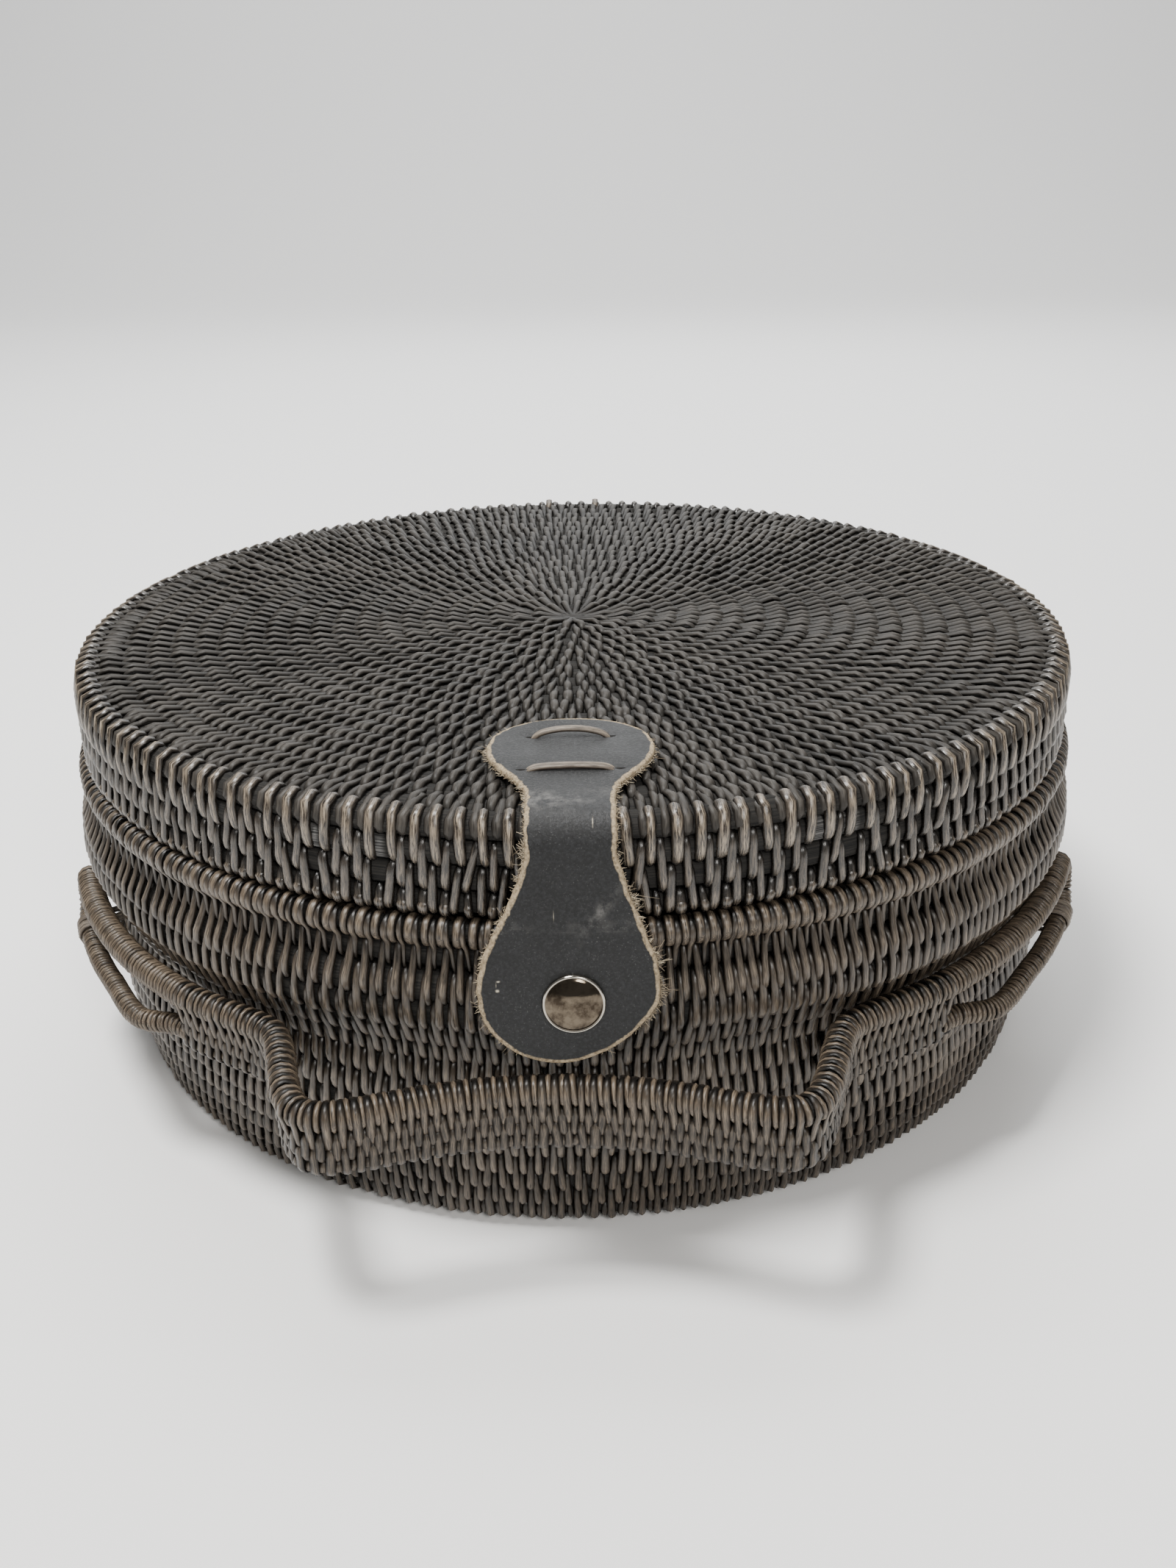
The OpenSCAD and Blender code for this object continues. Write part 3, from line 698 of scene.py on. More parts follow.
def gallery(place_name, turn_z, tilt_y, cane_rim, cane_wall, lace, core):
    rod = gallery_rod()
    rings, band, cores = Bundle(), Bundle(), Bundle()
    total = rod.at[-1]
    middle = total / 2
    whole_band = both_halves(band_plan(), [-1, 1])
    band_line = np.linalg.norm(np.diff(whole_band, axis=0), axis=1).sum()
    long_count = int(band_line / (2 * WRAP_SPACING))
    long_at = middle + (np.arange(long_count) - (long_count - 1) / 2) * 2 * WRAP_SPACING
    long_at = long_at + 0.12 * MM * rng.normal(0, 1, long_count)
    plain = np.arange(long_at[-1] + WRAP_SPACING, total, WRAP_SPACING)
    ring_at = np.concatenate([total - plain[::-1], long_at[:-1] + WRAP_SPACING, plain])
    ring_at = ring_at + 0.10 * MM * rng.normal(0, 1, len(ring_at))
    rod_rings(rings, rod, ring_at, *RING_CANE)
    first_coil = GALLERY_RIM + band_drop / 2
    band_loops(rings, rod, long_at, 0, first_coil, GALLERY_RIM, BAND_HALF + 0.3 * MM, *LONG_CANE)
    coil_at = first_coil + band_drop * np.arange(BAND_COILS)
    coil_half = BAND_HALF + 0.4 * MM
    offset = WRAP_SPACING
    for top in coil_at[:-1]:
        band_loops(band, rod, long_at[:-1] + offset, top, band_drop, coil_half, coil_half, *BAND_CANE)
        offset = WRAP_SPACING - offset
    band_loops(band, rod, long_at[:-1] + offset, coil_at[-1] - 0.3 * MM, 0.6 * MM, BAND_HALF, BAND_HALF,
               *LAST_CANE)
    along_rod = np.linspace(1 * MM, total - 1 * MM, 400)
    along_band = np.linspace(middle - band_line / 2, middle + band_line / 2, 160)
    loop_core, rim_core = GALLERY_LOOP - 1.2 * MM, GALLERY_RIM - 1.1 * MM
    swept_core(cores, rod, along_rod, 0, loop_core, loop_core)
    swept_core(cores, rod, along_band, 0, rim_core, rim_core)
    for drop in coil_at:
        swept_core(cores, rod, along_band, drop, BAND_HALF - 0.9 * MM, band_drop * 0.49)
    for bundle in (rings, band, cores):
        pose_bundle(bundle, turn_z, tilt_y)
    place(rings.piece(f"gallery_rod_cane_{place_name}"), "basket", cane_rim, "cane_rim",
          f"gallery_rod_{place_name}")
    place(band.piece(f"gallery_band_cane_{place_name}"), "basket", cane_wall, "cane_wall",
          f"gallery_band_{place_name}")
    place(cores.piece(f"gallery_cores_{place_name}"), "basket", core, "cane_wall",
          f"gallery_rod_{place_name}", f"gallery_band_{place_name}")
    names = ("right", "left") if place_name == "back" else ("left", "right")
    for name, sign in zip(names, (-1, 1)):
        bound = Bundle()
        lashing(bound, HANDLE_END - math.radians(2.0), sign)
        pose_bundle(bound, turn_z, tilt_y)
        place(bound.piece(f"lashing_{place_name}_{name}"), "basket", lace, "cane_lace",
              f"gallery_lashing_{place_name}_{name}")


# ---------------------------------------------------------------- leather

LEATHER = 2.5 * MM
EDGE_ROUND = 1.2 * MM
TOP_LENGTH = 59 * MM
BEND_R = 8.85 * MM
BEND_Y = -171 * MM
FLAP_LEAN = math.radians(5.4)
BEND_LENGTH = BEND_R * (math.pi / 2 - FLAP_LEAN)
FLAP_START = TOP_LENGTH + BEND_LENGTH + BEND_R * math.sin(FLAP_LEAN)
FLAP_LENGTH = 60.5 * MM
STRAP_LENGTH = FLAP_START + FLAP_LENGTH
EDGE_FIBRES = 1500
STRAP_MID_Z = high("strap_top").z - LEATHER / 2
# In mm: half widths of the strap's two lobes and its waist, and how far along and across its slits are
LOBE, WAIST, FLAP_LOBE = 23.6, 11.9, 24.5
BACK_SLITS, FRONT_SLITS = (14, 11.4), (37, 13.6)


def ragged(t, seed, size):
    """A small smooth unevenness along a cut edge, at t metres along it."""
    source = np.random.default_rng(seed)
    waves = 9
    lengths = source.uniform(2.2, 14, waves) * MM
    starts = source.uniform(0, FULL_TURN, waves)
    return size * np.sin(FULL_TURN * np.asarray(t)[..., None] / lengths + starts).sum(-1) / 3


def strap_half_width(l):
    """Half the strap's width at lengths l from its back end: lobe, waist, then the flap's larger lobe."""
    l = np.asarray(l, float) / MM
    lobe, widest, tip = 24.0, 38.5, FLAP_LENGTH / MM
    back = LOBE * (1 - np.clip(1 - l / lobe, 0, 1) ** 2.3) ** (1 / 2.3)
    to_waist = ease(LOBE, WAIST, (l - lobe) / 30)
    down = l - FLAP_START / MM
    flap = np.interp(down, [0, 3, 8, 13.6, 21, 28.7, 34.8, widest],
                     [WAIST, 12.5, 14.1, 16.3, 19.8, 22.9, 24.2, FLAP_LOBE])
    flap = (flap + np.interp(down - 1.5, [0, 13.6, 28.7, widest], [WAIST, 16.3, 22.9, FLAP_LOBE])) / 2
    end = FLAP_LOBE * (1 - np.clip((down - widest) / (tip - widest), 0, 1) ** 1.85) ** (1 / 1.85)
    return np.where(l < lobe, back, np.where(down < 0, to_waist, np.where(down < widest, flap, end))) * MM


def strap_centre(l):
    """How far the strap's middle strays from x = 0: the flap hangs a little to the left."""
    down = np.clip((np.asarray(l, float) - FLAP_START) / MM, 0, None)
    return (-1.3 * ease(0, 1, down / 38) - 2.6 * ease(0, 1, (down - 38) / 22)) * MM


def strap_line(l):
    """Middle layer of the strap in the (y, z) plane and its outer normal, at lengths l."""
    l = np.asarray(l, float)
    turn = np.clip((l - TOP_LENGTH) / BEND_R, 0, math.pi / 2 - FLAP_LEAN)
    after = np.clip(l - TOP_LENGTH - BEND_LENGTH, 0, None)
    before = np.clip(TOP_LENGTH - l, 0, None)
    y = BEND_Y - BEND_R * np.sin(turn) + before - after * np.cos(turn)
    z = STRAP_MID_Z - BEND_R + BEND_R * np.cos(turn) - after * np.sin(turn)
    return np.stack([y, z], -1), np.stack([-np.sin(turn), np.cos(turn)], -1)


def strap_dent(l, x):
    """How far the strap is pushed outwards: drawn down by the laces, its lobe's tips lifted and its flap
    a little bowed."""
    l, x = np.asarray(l) / MM, np.asarray(x) / MM
    push = 0.9 * np.clip(np.abs(x) / 24 - 0.45, 0, None) ** 1.5 * np.exp(-((l - 20) / 14) ** 2) * 2.2
    for at, half in ((14, 11.5), (37, 13.5)):
        for end in (-half, half):
            push = push - 0.55 * np.exp(-((x - end) / 2.2) ** 2 - ((l - at) / 1.9) ** 2)
        push = push + 0.22 * np.exp(-(x / half) ** 4 - ((l - at) / 2.5) ** 2)
    down = l - FLAP_START / MM
    push = push + 0.35 * np.sin(np.clip(down, 0, 60) / 60 * math.pi) * np.cos(x / 16)
    return push * MM


def leather_sheet(name, stations, half_width, centre, line, dent, seeds):
    """A cut piece of leather with rounded raw edges. half_width and centre give its outline at lengths
    l, line its middle layer and outer normal in the (y, z) plane, dent how far it is pushed outwards."""
    near_edge = np.array([0, 0.10, 0.28, 0.55, 0.85, 1.2]) * MM
    inner = np.linspace(0, 1, 36)[1:-1]
    l = stations
    half = half_width(l)
    near_end = np.minimum(1, half / (3 * MM))
    left = -half + near_end * ragged(l, seeds[0], 0.14 * MM)
    right = half + near_end * ragged(l, seeds[1], 0.14 * MM)
    near = near_edge * near_end[:, None]
    from_left, from_right = left[:, None] + near, right[:, None] - near[:, ::-1]
    middle = from_left[:, -1:] + (from_right[:, :1] - from_left[:, -1:]) * inner
    x = np.concatenate([from_left, middle, from_right], 1) + centre(l)[:, None]
    l = np.broadcast_to(l[:, None], x.shape)
    edge = edge_distance(x, l)
    shrink = np.clip(edge / EDGE_ROUND, 0, 1)
    half_thick = LEATHER / 2 * np.sqrt(np.clip(1 - (1 - shrink) ** 2.6, 0, 1))
    middle, normal = line(l)
    push = dent(l, x)
    verts, shade = [], []
    for face in (1, -1):
        flat = middle + normal * (push + face * half_thick)[..., None]
        verts.append(np.concatenate([x[..., None], flat], -1).reshape(-1, 3))
        shade.append(np.stack([np.clip(edge / (4 * MM), 0, 1), l / (100 * MM), x / (60 * MM) + 0.5,
                               np.full(x.shape, (face + 1) / 2)], -1).reshape(-1, 4))
    rows, columns = x.shape
    index = np.arange(rows * columns).reshape(rows, columns)
    a, b, c, d = index[:-1, :-1], index[1:, :-1], index[1:, 1:], index[:-1, 1:]
    top = np.stack([a, b, c, d], -1).reshape(-1, 4)
    below = np.stack([a, d, c, b], -1).reshape(-1, 4) + rows * columns
    piece = mesh_object(name, np.concatenate(verts), [top, below], np.concatenate(shade))
    join_faces(piece)
    return piece


def edge_distance(x, l):
    """Distance of each point of a sheet laid flat from the sheet's outline."""
    rim = np.concatenate([np.stack([x[:, 0], l[:, 0]], -1), np.stack([x[::-1, -1], l[::-1, 0]], -1)])
    span = np.roll(rim, -1, 0) - rim
    edge = np.empty(x.shape)
    for row in range(len(x)):
        spot = np.stack([x[row], l[row]], -1)[:, None]
        share = ((spot - rim) * span).sum(-1) / np.maximum((span * span).sum(-1), 1e-12)
        nearest = rim + np.clip(share, 0, 1)[..., None] * span
        edge[row] = np.linalg.norm(spot - nearest, axis=-1).min(1)
    edge[0] = edge[-1] = 0
    edge[:, 0] = edge[:, -1] = 0
    return edge


def join_faces(piece):
    """Joins the points where the two faces of a sheet meet, and drops what this leaves without area."""
    joined = bmesh.new()
    joined.from_mesh(piece.data)
    bmesh.ops.remove_doubles(joined, verts=joined.verts, dist=0.003 * MM)
    bmesh.ops.dissolve_degenerate(joined, edges=joined.edges, dist=0.002 * MM)
    bmesh.ops.recalc_face_normals(joined, faces=joined.faces)
    joined.to_mesh(piece.data)
    joined.free()


def blended_leather(piece, material, bodies, start, end, *nodes):
    piece.data.materials.append(material)
    if nodes:
        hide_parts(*nodes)
    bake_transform(piece)


def edge_fibres(count, seed):
    """Loose fibres along the strap's raw edge, longer and denser at a few places."""
    source = np.random.default_rng(seed)
    l = source.uniform(3.0, STRAP_LENGTH / MM - 1.2, count) * MM
    hand = source.choice([-1.0, 1.0], count)
    thick_spots = np.array([(22, -1), (103, 1), (112, 1), (118, 1), (87, 1), (72, -1)])
    tuft = source.random(count) < 0.30
    pick = thick_spots[source.integers(0, len(thick_spots), count)]
    l = np.where(tuft, (pick[:, 0] + source.normal(0, 1.6, count)) * MM, l)
    hand = np.where(tuft, pick[:, 1], hand)
    step = 0.4 * MM

    def on_edge(at):
        return strap_centre(at) + hand * (strap_half_width(at) - 0.15 * MM)

    base, normal = strap_line(l)
    start = np.column_stack([on_edge(l), base])
    along = unit(np.column_stack([on_edge(l + step), strap_line(l + step)[0]]) - start)
    normal = np.column_stack([np.zeros(count), normal])
    outward = np.cross(along, normal)
    outward = outward * np.sign(outward[:, :1] * hand[:, None])
    length = source.gamma(2.0, 0.38, count)[:, None] * MM
    length = np.where(tuft[:, None], length * 1.5, length)
    lean = source.normal(0, 0.7, (count, 1))
    rise = source.normal(0, 0.45, (count, 1))
    direction = unit(outward + lean * along + rise * normal)
    curl = unit(source.normal(0, 1, (count, 3))) * length * 0.35
    start = start + normal * source.uniform(-0.8, 0.8, (count, 1)) * MM
    t = np.linspace(0, 1, 4)[:, None]
    path = start[:, None] + direction[:, None] * length[:, None] * t + curl[:, None] * t * t
    widths = source.uniform(0.10, 0.24, (count, 1)) * MM * np.linspace(1, 0.45, 4)
    bundle = Bundle()
    bundle.add(path, np.cross(direction, normal + 0.01)[:, None], widths, widths, tone=source.random(count),
               closed=False, section=SECTION_FIBRE)
    return bundle.piece("strap_edge_fibres")


def cut_stations(near_end, middle, length):
    """Lengths along a sheet in metres, closer together near both of its ends."""
    near_end = np.array(near_end)
    return np.unique(np.concatenate([near_end, *middle, length / MM - near_end[::-1]])) * MM


def strap(leather, fibre, slit):
    runs = [np.linspace(1.3, 58, 66), np.linspace(58, 74, 22),
            np.linspace(74, STRAP_LENGTH / MM - 1.2, 66)]
    stations = cut_stations([0, 0.08, 0.25, 0.5, 0.85], runs, STRAP_LENGTH)
    sheet = leather_sheet("strap_leather", stations, strap_half_width, strap_centre, strap_line, strap_dent,
                          (3, 4))
    start, end = (0, fold_y, fold_z + 3.1 * MM), (0, fold_y, fold_z - 3.4 * MM)
    blended_leather(sheet, leather, ("lid", "flap"), start, end, "strap_top", "strap_flap")
    blended_leather(edge_fibres(EDGE_FIBRES, 21), fibre, ("lid", "flap"), start, end)
    # painted shadow: dark plates in the core's paint fill the slits the laces pass through
    slit_shadows = Bundle()
    for l, x in (BACK_SLITS, FRONT_SLITS):
        flat, normal = strap_line(l * MM)
        y, z = flat + normal * (LEATHER / 2 - 0.42 * MM)
        for side in (-1, 1):
            add_lens(slit_shadows, np.array([side * x * MM, y, z]), (2.6 * MM, 0.55 * MM, 0.22 * MM))
    place(slit_shadows.piece("strap_slit_shadows"), "lid", slit, "strap_leather")


def add_lens(bundle, spot, half):
    """A flat closed ellipsoid along X, a dark plate of painted shadow in a slit cut in the leather."""
    t = np.linspace(-1, 1, 9)[1:-1]
    path = spot + np.outer(t, np.array([1.0, 0, 0]) * half[0])
    size, turns = np.sqrt(1 - t * t), spaced(8)
    ring = np.stack([np.cos(turns), np.sin(turns)], -1)
    bundle.add(path[None], (0.0, 1, 0), 2 * half[1] * size, 2 * half[2] * size, 0.0, np.zeros(1), False,
               ring)


def rounded_loop(corners, radius, steps=5):
    """A closed line with rounded corners."""
    corners = np.array(corners, float)
    points = []
    for i, corner in enumerate(corners):
        before, after = corners[i - 1], corners[(i + 1) % len(corners)]
        reach = min(radius, np.linalg.norm(before - corner) / 2.1, np.linalg.norm(after - corner) / 2.1)
        a, b = corner + unit(before - corner) * reach, corner + unit(after - corner) * reach
        for t in np.linspace(0, 1, steps):
            points.append((1 - t) ** 2 * a + 2 * t * (1 - t) * corner + t * t * b)
    return np.array(points)


def laces(material):
    """The two cane laces that hold the strap to the lid, each of one or more turns side by side."""
    under = (low("lid_top").z - high("strap_top").z) / MM - 0.9
    down, up = np.array([0.0, -1, 0]), np.array([0.0, 0, 1])
    for name, y, half, arch, width, tones in (
            ("strap_lace_back", -126.5, 11.2, 2.3, 2.6 * MM, (0.8,)),
            ("strap_lace_front", -149.5, 12.2, 0.8, 1.6 * MM, (0.9, 0.1))):
        top = [(x * half, 0.35 + arch * (1 - abs(x) ** 2.2)) for x in np.linspace(-0.8, 0.8, 7)]
        corners = [(-half, under), (-half, -0.6)] + top + [(half, -0.6), (half, under)]
        loop = rounded_loop(corners, 2.2) * MM
        x, z = loop.T
        line = np.array([0, y * MM, high("strap_top").z]) + np.column_stack([x, 0 * x, z])
        bundle = Bundle()
        for i, tone in enumerate(tones):
            path = line + (i - (len(tones) - 1) / 2) * width * 0.96 * down
            path = path + down * 0.12 * MM * rng.normal(0, 1)
            bundle.add(path[None], unit(down - 0.45 * up), width, 1.1 * MM, tone=np.array([tone]))
        place(bundle.piece(f"{name}_cane"), "lid", material, "cane_lace", name)


# ---------------------------------------------------------------- the hinge

HINGE_LEAN = math.radians(6.2)
HINGE_UP, HINGE_DOWN = 20 * MM, 34 * MM
HINGE_LENGTH = HINGE_UP + HINGE_DOWN
HINGE_LACE = (2.6 * MM, 1.15 * MM)
LACE_INSIDE_Y = 162.4 * MM
hinge_up_dir = np.array([0, -math.sin(HINGE_LEAN), math.cos(HINGE_LEAN)])
hinge_out = np.array([0, math.cos(HINGE_LEAN), math.sin(HINGE_LEAN)])
hinge_spot = np.array([0, hinge_y, hinge_z])


def hinge_half_width(l):
    l = np.asarray(l, float)
    half = np.full(l.shape, 13 * MM)
    for corner, past_end in ((6 * MM, l - (HINGE_LENGTH - 6 * MM)), (2 * MM, 2 * MM - l)):
        past = np.clip(past_end, 0, corner)
        half = half - corner + np.sqrt(np.clip(corner ** 2 - past ** 2, 0, None))
    return half


def hinge_line(l):
    up = HINGE_UP - np.asarray(l, float)
    middle = (hinge_spot[1:] - hinge_out[1:] * LEATHER / 2) + up[..., None] * hinge_up_dir[1:]
    return middle, np.broadcast_to(hinge_out[1:], middle.shape)


def flat_sheet(l, x=0.0):
    """No stray and no dent anywhere on a sheet."""
    return 0.0 * l


def hinge(leather, lace):
    runs = [np.linspace(1.5, HINGE_LENGTH / MM - 1.5, 56)]
    stations = cut_stations([0, 0.1, 0.3, 0.6, 1.0], runs, HINGE_LENGTH)
    sheet = leather_sheet("hinge_leather", stations, hinge_half_width, flat_sheet, hinge_line, flat_sheet,
                          (5, 6))
    blended_leather(sheet, leather, ("basket", "lid"), (0, hinge_y, hinge_z - 3.2 * MM),
                    (0, hinge_y, hinge_z + 3.2 * MM), "hinge_leather_lid", "hinge_leather_body")
    inside, over = (LACE_INSIDE_Y - hinge_y) / MM, (lid_top_z - hinge_z) / MM
    loop = rounded_loop([(inside, 8.6), (0.7, 8.6), (-1.0, 22), (-5.6, over - 0.3), (-12, over + 0.1),
                         (inside, over + 0.1)], 3.0)
    bound = Bundle()
    for x in (-11.3, 10.3):
        path = hinge_spot + np.column_stack([np.full(len(loop), x), loop]) * MM
        bound.add(path[None], (1.0, 0, 0), *HINGE_LACE)
    place(bound.piece("hinge_lace_lid_cane"), "lid", lace, "cane_lace", "hinge_lace_lid")
    loop = rounded_loop([(-9, -12.6), (-9, -0.4), (-6.5, 0.7), (0, 0.95), (6.5, 0.7), (9, -0.4),
                         (9, -12.6)], 2.0)
    stitched = Bundle()
    for drop in (13, 25):
        path = (hinge_spot - hinge_up_dir * drop * MM + np.outer(-loop[:, 0], (1, 0, 0)) * MM
                + np.outer(loop[:, 1], hinge_out) * MM)
        stitched.add(path[None], -hinge_up_dir, *HINGE_LACE)
    place(stitched.piece("hinge_lace_body_cane"), "basket", lace, "cane_lace", "hinge_lace_body")


# ---------------------------------------------------------------- the snap

STUD_BACK_Y = -180.1 * MM
SNAP_DROP = 42.0 * MM


def lathe(name, profile, origin, axis, segments=96):
    """A turned piece: profile gives (radius, height along the axis) in mm, closed at the axis."""
    axis = unit(np.array(axis, float))
    u = unit(np.cross(axis, (1.0, 0.2, 0.0)))
    v = np.cross(axis, u)
    profile = np.array(profile, float) * MM
    turns = spaced(segments)[:, None]
    radius, height = profile[1:-1, 0][None], profile[1:-1, 1][None]
    ring = (np.array(origin) + (radius * np.cos(turns))[..., None] * u
            + (radius * np.sin(turns))[..., None] * v + (height + 0 * turns)[..., None] * axis)
    rows = ring.shape[1]
    ends = np.array(origin) + profile[[0, -1], 1][:, None] * axis
    verts = np.concatenate([ring.reshape(-1, 3), ends])
    index = np.arange(segments * rows).reshape(segments, rows)
    ahead = np.roll(index, -1, 0)
    quads = np.stack([index[:, :-1], index[:, 1:], ahead[:, 1:], ahead[:, :-1]], -1).reshape(-1, 4)
    first, last = len(verts) - 2, len(verts) - 1
    caps = np.concatenate([np.stack([np.full(segments, first), index[:, 0], ahead[:, 0]], -1),
                           np.stack([np.full(segments, last), ahead[:, -1], index[:, -1]], -1)])
    shade = np.zeros((len(verts), 4))
    shade[:-2, 0] = np.tile(profile[1:-1, 0] / (10 * MM), segments)
    return mesh_object(name, verts, [quads, caps], shade)


def snap(metal):
    """A domed cap with a rolled ring and the socket behind it on the flap, the stud on the wall."""
    flat, normal = strap_line(FLAP_START + SNAP_DROP)
    out = np.array([0, *normal])
    spot = np.array([0, *flat]) + out * LEATHER / 2
    dome = [(r, 3.2 - 1.6 * (r / 7.5) ** 2.2) for r in np.linspace(0, 7.5, 12)]
    ring = [(7.66, 1.42), (7.8, 1.5), (8.0, 1.58), (8.2, 1.5), (8.38, 1.22), (8.5, 0.85), (8.42, 0.4),
            (8.15, 0.08), (7.6, 0.0), (0, 0.0)]
    socket = [(0, 0.15), (5.4, 0.15), (5.85, 0.02), (6, -0.3), (5.9, -0.8), (5.6, -1.0), (4.6, -0.95),
              (4.2, -0.75), (2.4, -0.75), (2.2, -0.35), (0, -0.35)]
    near, far = low("snap_stud"), high("snap_stud")
    middle_z = (near.z + far.z) / 2
    thick, sunk = 1000 * (STUD_BACK_Y - near.y), 1000 * (STUD_BACK_Y - far.y)
    stud = [(0, thick), (1.9, thick), (2.1, thick - 0.12), (2.3, thick * 0.75), (5.3, thick * 0.7),
            (5.9, thick * 0.45), (6, 0.05), (5.7, -0.1), (2.0, -0.1), (2.0, sunk), (0, sunk)]
    near, far = low("snap_washer"), high("snap_washer")
    width = (far.y - near.y) / MM
    washer = [(0, 0), (4.2, 0), (4.45, 0.15), (4.5, width * 0.5), (4.4, width - 0.1), (4.1, width),
              (0, width)]
    for name, body, profile, origin, axis, node_name in (
            ("snap_cap_dome", "flap", dome + ring, spot, out, "snap_cap"),
            ("snap_socket_ring", "flap", socket, spot - out * LEATHER, out, "snap_socket"),
            ("snap_stud_disc", "basket", stud, (0, STUD_BACK_Y, middle_z), (0, -1, 0), "snap_stud"),
            ("snap_washer_disc", "basket", washer, (0, far.y, middle_z), (0, -1, 0), "snap_washer")):
        place(lathe(name, profile, origin, axis), body, metal, "snap_metal", node_name)


# ---------------------------------------------------------------- materials


def grey(value, warmth=(1.0, 1.0, 1.0)):
    return (value * warmth[0], value * warmth[1], value * warmth[2], 1)


class Paint:
    """A material and the nodes its look is made of. Values are numbers, colours or other nodes' outputs."""

    def __init__(self, name):
        self.material = bpy.data.materials.new(name)
        self.material.use_nodes = True
        self.tree = self.material.node_tree
        self.shader = self.tree.nodes["Principled BSDF"]

    def put(self, socket, value):
        if isinstance(value, bpy.types.NodeSocket):
            self.tree.links.new(value, socket)
        else:
            socket.default_value = value

    def node(self, kind, inputs=(), **settings):
        made = self.tree.nodes.new("ShaderNode" + kind)
        for key, value in settings.items():
            setattr(made, key, value)
        for key, value in dict(inputs).items():
            self.put(made.inputs[key], value)
        return made

    def maths(self, operation, a, b=0.0):
        return self.node("Math", {0: a, 1: b}, operation=operation).outputs[0]

    def add(self, a, b):
        return self.maths("ADD", a, b)

    def times(self, a, b):
        return self.maths("MULTIPLY", a, b)

    def most(self, a, b):
        return self.maths("MAXIMUM", a, b)

    def off(self, value, middle):
        """How far a value is from the middle."""
        return self.maths("ABSOLUTE", self.maths("SUBTRACT", value, middle))

    def blend(self, factor, a, b):
        return self.node("Mix", {0: factor, 6: a, 7: b}, data_type="RGBA").outputs[2]

    def remap(self, value, from_low, from_high, to_low=0.0, to_high=1.0, **settings):
        ends = {0: value, 1: from_low, 2: from_high, 3: to_low, 4: to_high}
        return self.node("MapRange", ends, **settings).outputs[0]

    def bell(self, value, middle, half):
        """1 at the middle, falling smoothly to 0 at a distance of half."""
        return self.remap(self.off(value, middle), 0.0, half, 1.0, 0.0, interpolation_type="SMOOTHSTEP")

    def noise(self, vector, scale, detail=3.0, rough=0.5):
        inputs = {"Vector": vector, "Scale": scale, "Detail": detail, "Roughness": rough}
        return self.node("TexNoise", inputs).outputs[0]

    def xyz(self, x, y, z):
        return self.node("CombineXYZ", {0: x, 1: y, 2: z}).outputs[0]

    def where(self):
        return self.node("TexCoord").outputs["Object"]

    def strand(self):
        """The four numbers of the colour attribute: tone, length along, place across, and crown."""
        colour = self.node("Attribute", attribute_name="strand")
        split = self.node("SeparateColor", {0: colour.outputs["Color"]})
        return *split.outputs[:3], colour.outputs["Alpha"]

    def finish(self, colour, roughness, bump=None, **more):
        """Sets the look. bump is the height, the strength and the distance of its relief."""
        self.put(self.shader.inputs["Base Color"], colour)
        self.put(self.shader.inputs["Roughness"], roughness)
        for key, value in more.items():
            self.put(self.shader.inputs[key.replace("_", " ")], value)
        if bump:
            relief = self.node("Bump", dict(zip(("Height", "Strength", "Distance"), bump)))
            self.put(self.shader.inputs["Normal"], relief.outputs[0])
        return self.material


def cane_material(name, dark, light, worn_and_highlight, roughness, shine, wear_and_highlight=0.75, side_shade=0.22, deep_shade=0.08):
    """Stained cane: streaks along each strip, every strip a little different, with painted shade down its
    sides and where it dives into the weave, and a paler crown, partly from use and partly painted
    highlight."""
    p = Paint(name)
    dark, light, worn_and_highlight = (*dark, 1), (*light, 1), (*worn_and_highlight, 1)
    tone, along, across, crown = p.strand()
    shifted = p.add(p.times(along, 4.0), p.times(tone, 91.0))
    streaks = p.noise(p.xyz(shifted, p.times(across, 8.0), p.times(tone, 37.0)), 1.4, 5.0, 0.62)
    patches = p.noise(p.where(), 24.0)
    fibre = p.remap(streaks, 0.32, 0.70)
    stained = p.blend(p.add(p.times(fibre, 0.5), p.times(tone, 0.5)), dark, light)
    patchy = p.blend(p.remap(patches, 0.35, 0.65, 0.55, 1.0), (0, 0, 0, 1), stained)
    off_middle = p.off(across, 0.5)
    # paler crowns: partly from use and partly painted highlight along the top of each strip
    rub_and_highlight = p.times(p.remap(crown, 0.62, 0.95), p.remap(streaks, 0.43, 0.62, 0.0, wear_and_highlight))
    rub_and_highlight = p.times(rub_and_highlight, p.remap(off_middle, 0.12, 0.36, 1.0, 0.15))
    # painted shade: each strip darkens towards almost black down its sides and where it dives into the
    # weave
    side = p.remap(off_middle, 0.30, 0.5, 1.0, side_shade)
    weave_shade = p.times(side, p.remap(crown, 0.25, 0.95, deep_shade, 1.0))
    shaded = p.blend(weave_shade, grey(0.003), p.blend(rub_and_highlight, patchy, worn_and_highlight))
    rough = p.remap(streaks, 0.3, 0.7, roughness - 0.07, roughness + 0.10)
    return p.finish(shaded, rough, (streaks, 0.4, 0.2 * MM), Specular_IOR_Level=shine)


def core_material():
    """The bundle of fibres under the stitches: painted shade, almost black, with fine ridges along it; pale
    where bare.
    """
    p = Paint("core")
    tone, along, across, bare = p.strand()
    fibres = p.noise(p.xyz(along, p.times(across, 60.0), tone), 1.0)
    # painted shade: almost black where the core shows between stitches; its own pale grey only where bare
    colour = p.blend(p.remap(fibres, 0.35, 0.7), grey(0.011), grey(0.032, (1, 0.93, 0.84)))
    pale = p.blend(p.remap(fibres, 0.35, 0.65), grey(0.018), grey(0.14, (1, 0.98, 0.95)))
    colour = p.blend(bare, colour, pale)
    return p.finish(colour, 0.8, (fibres, 0.7, 0.3 * MM), Specular_IOR_Level=0.1)


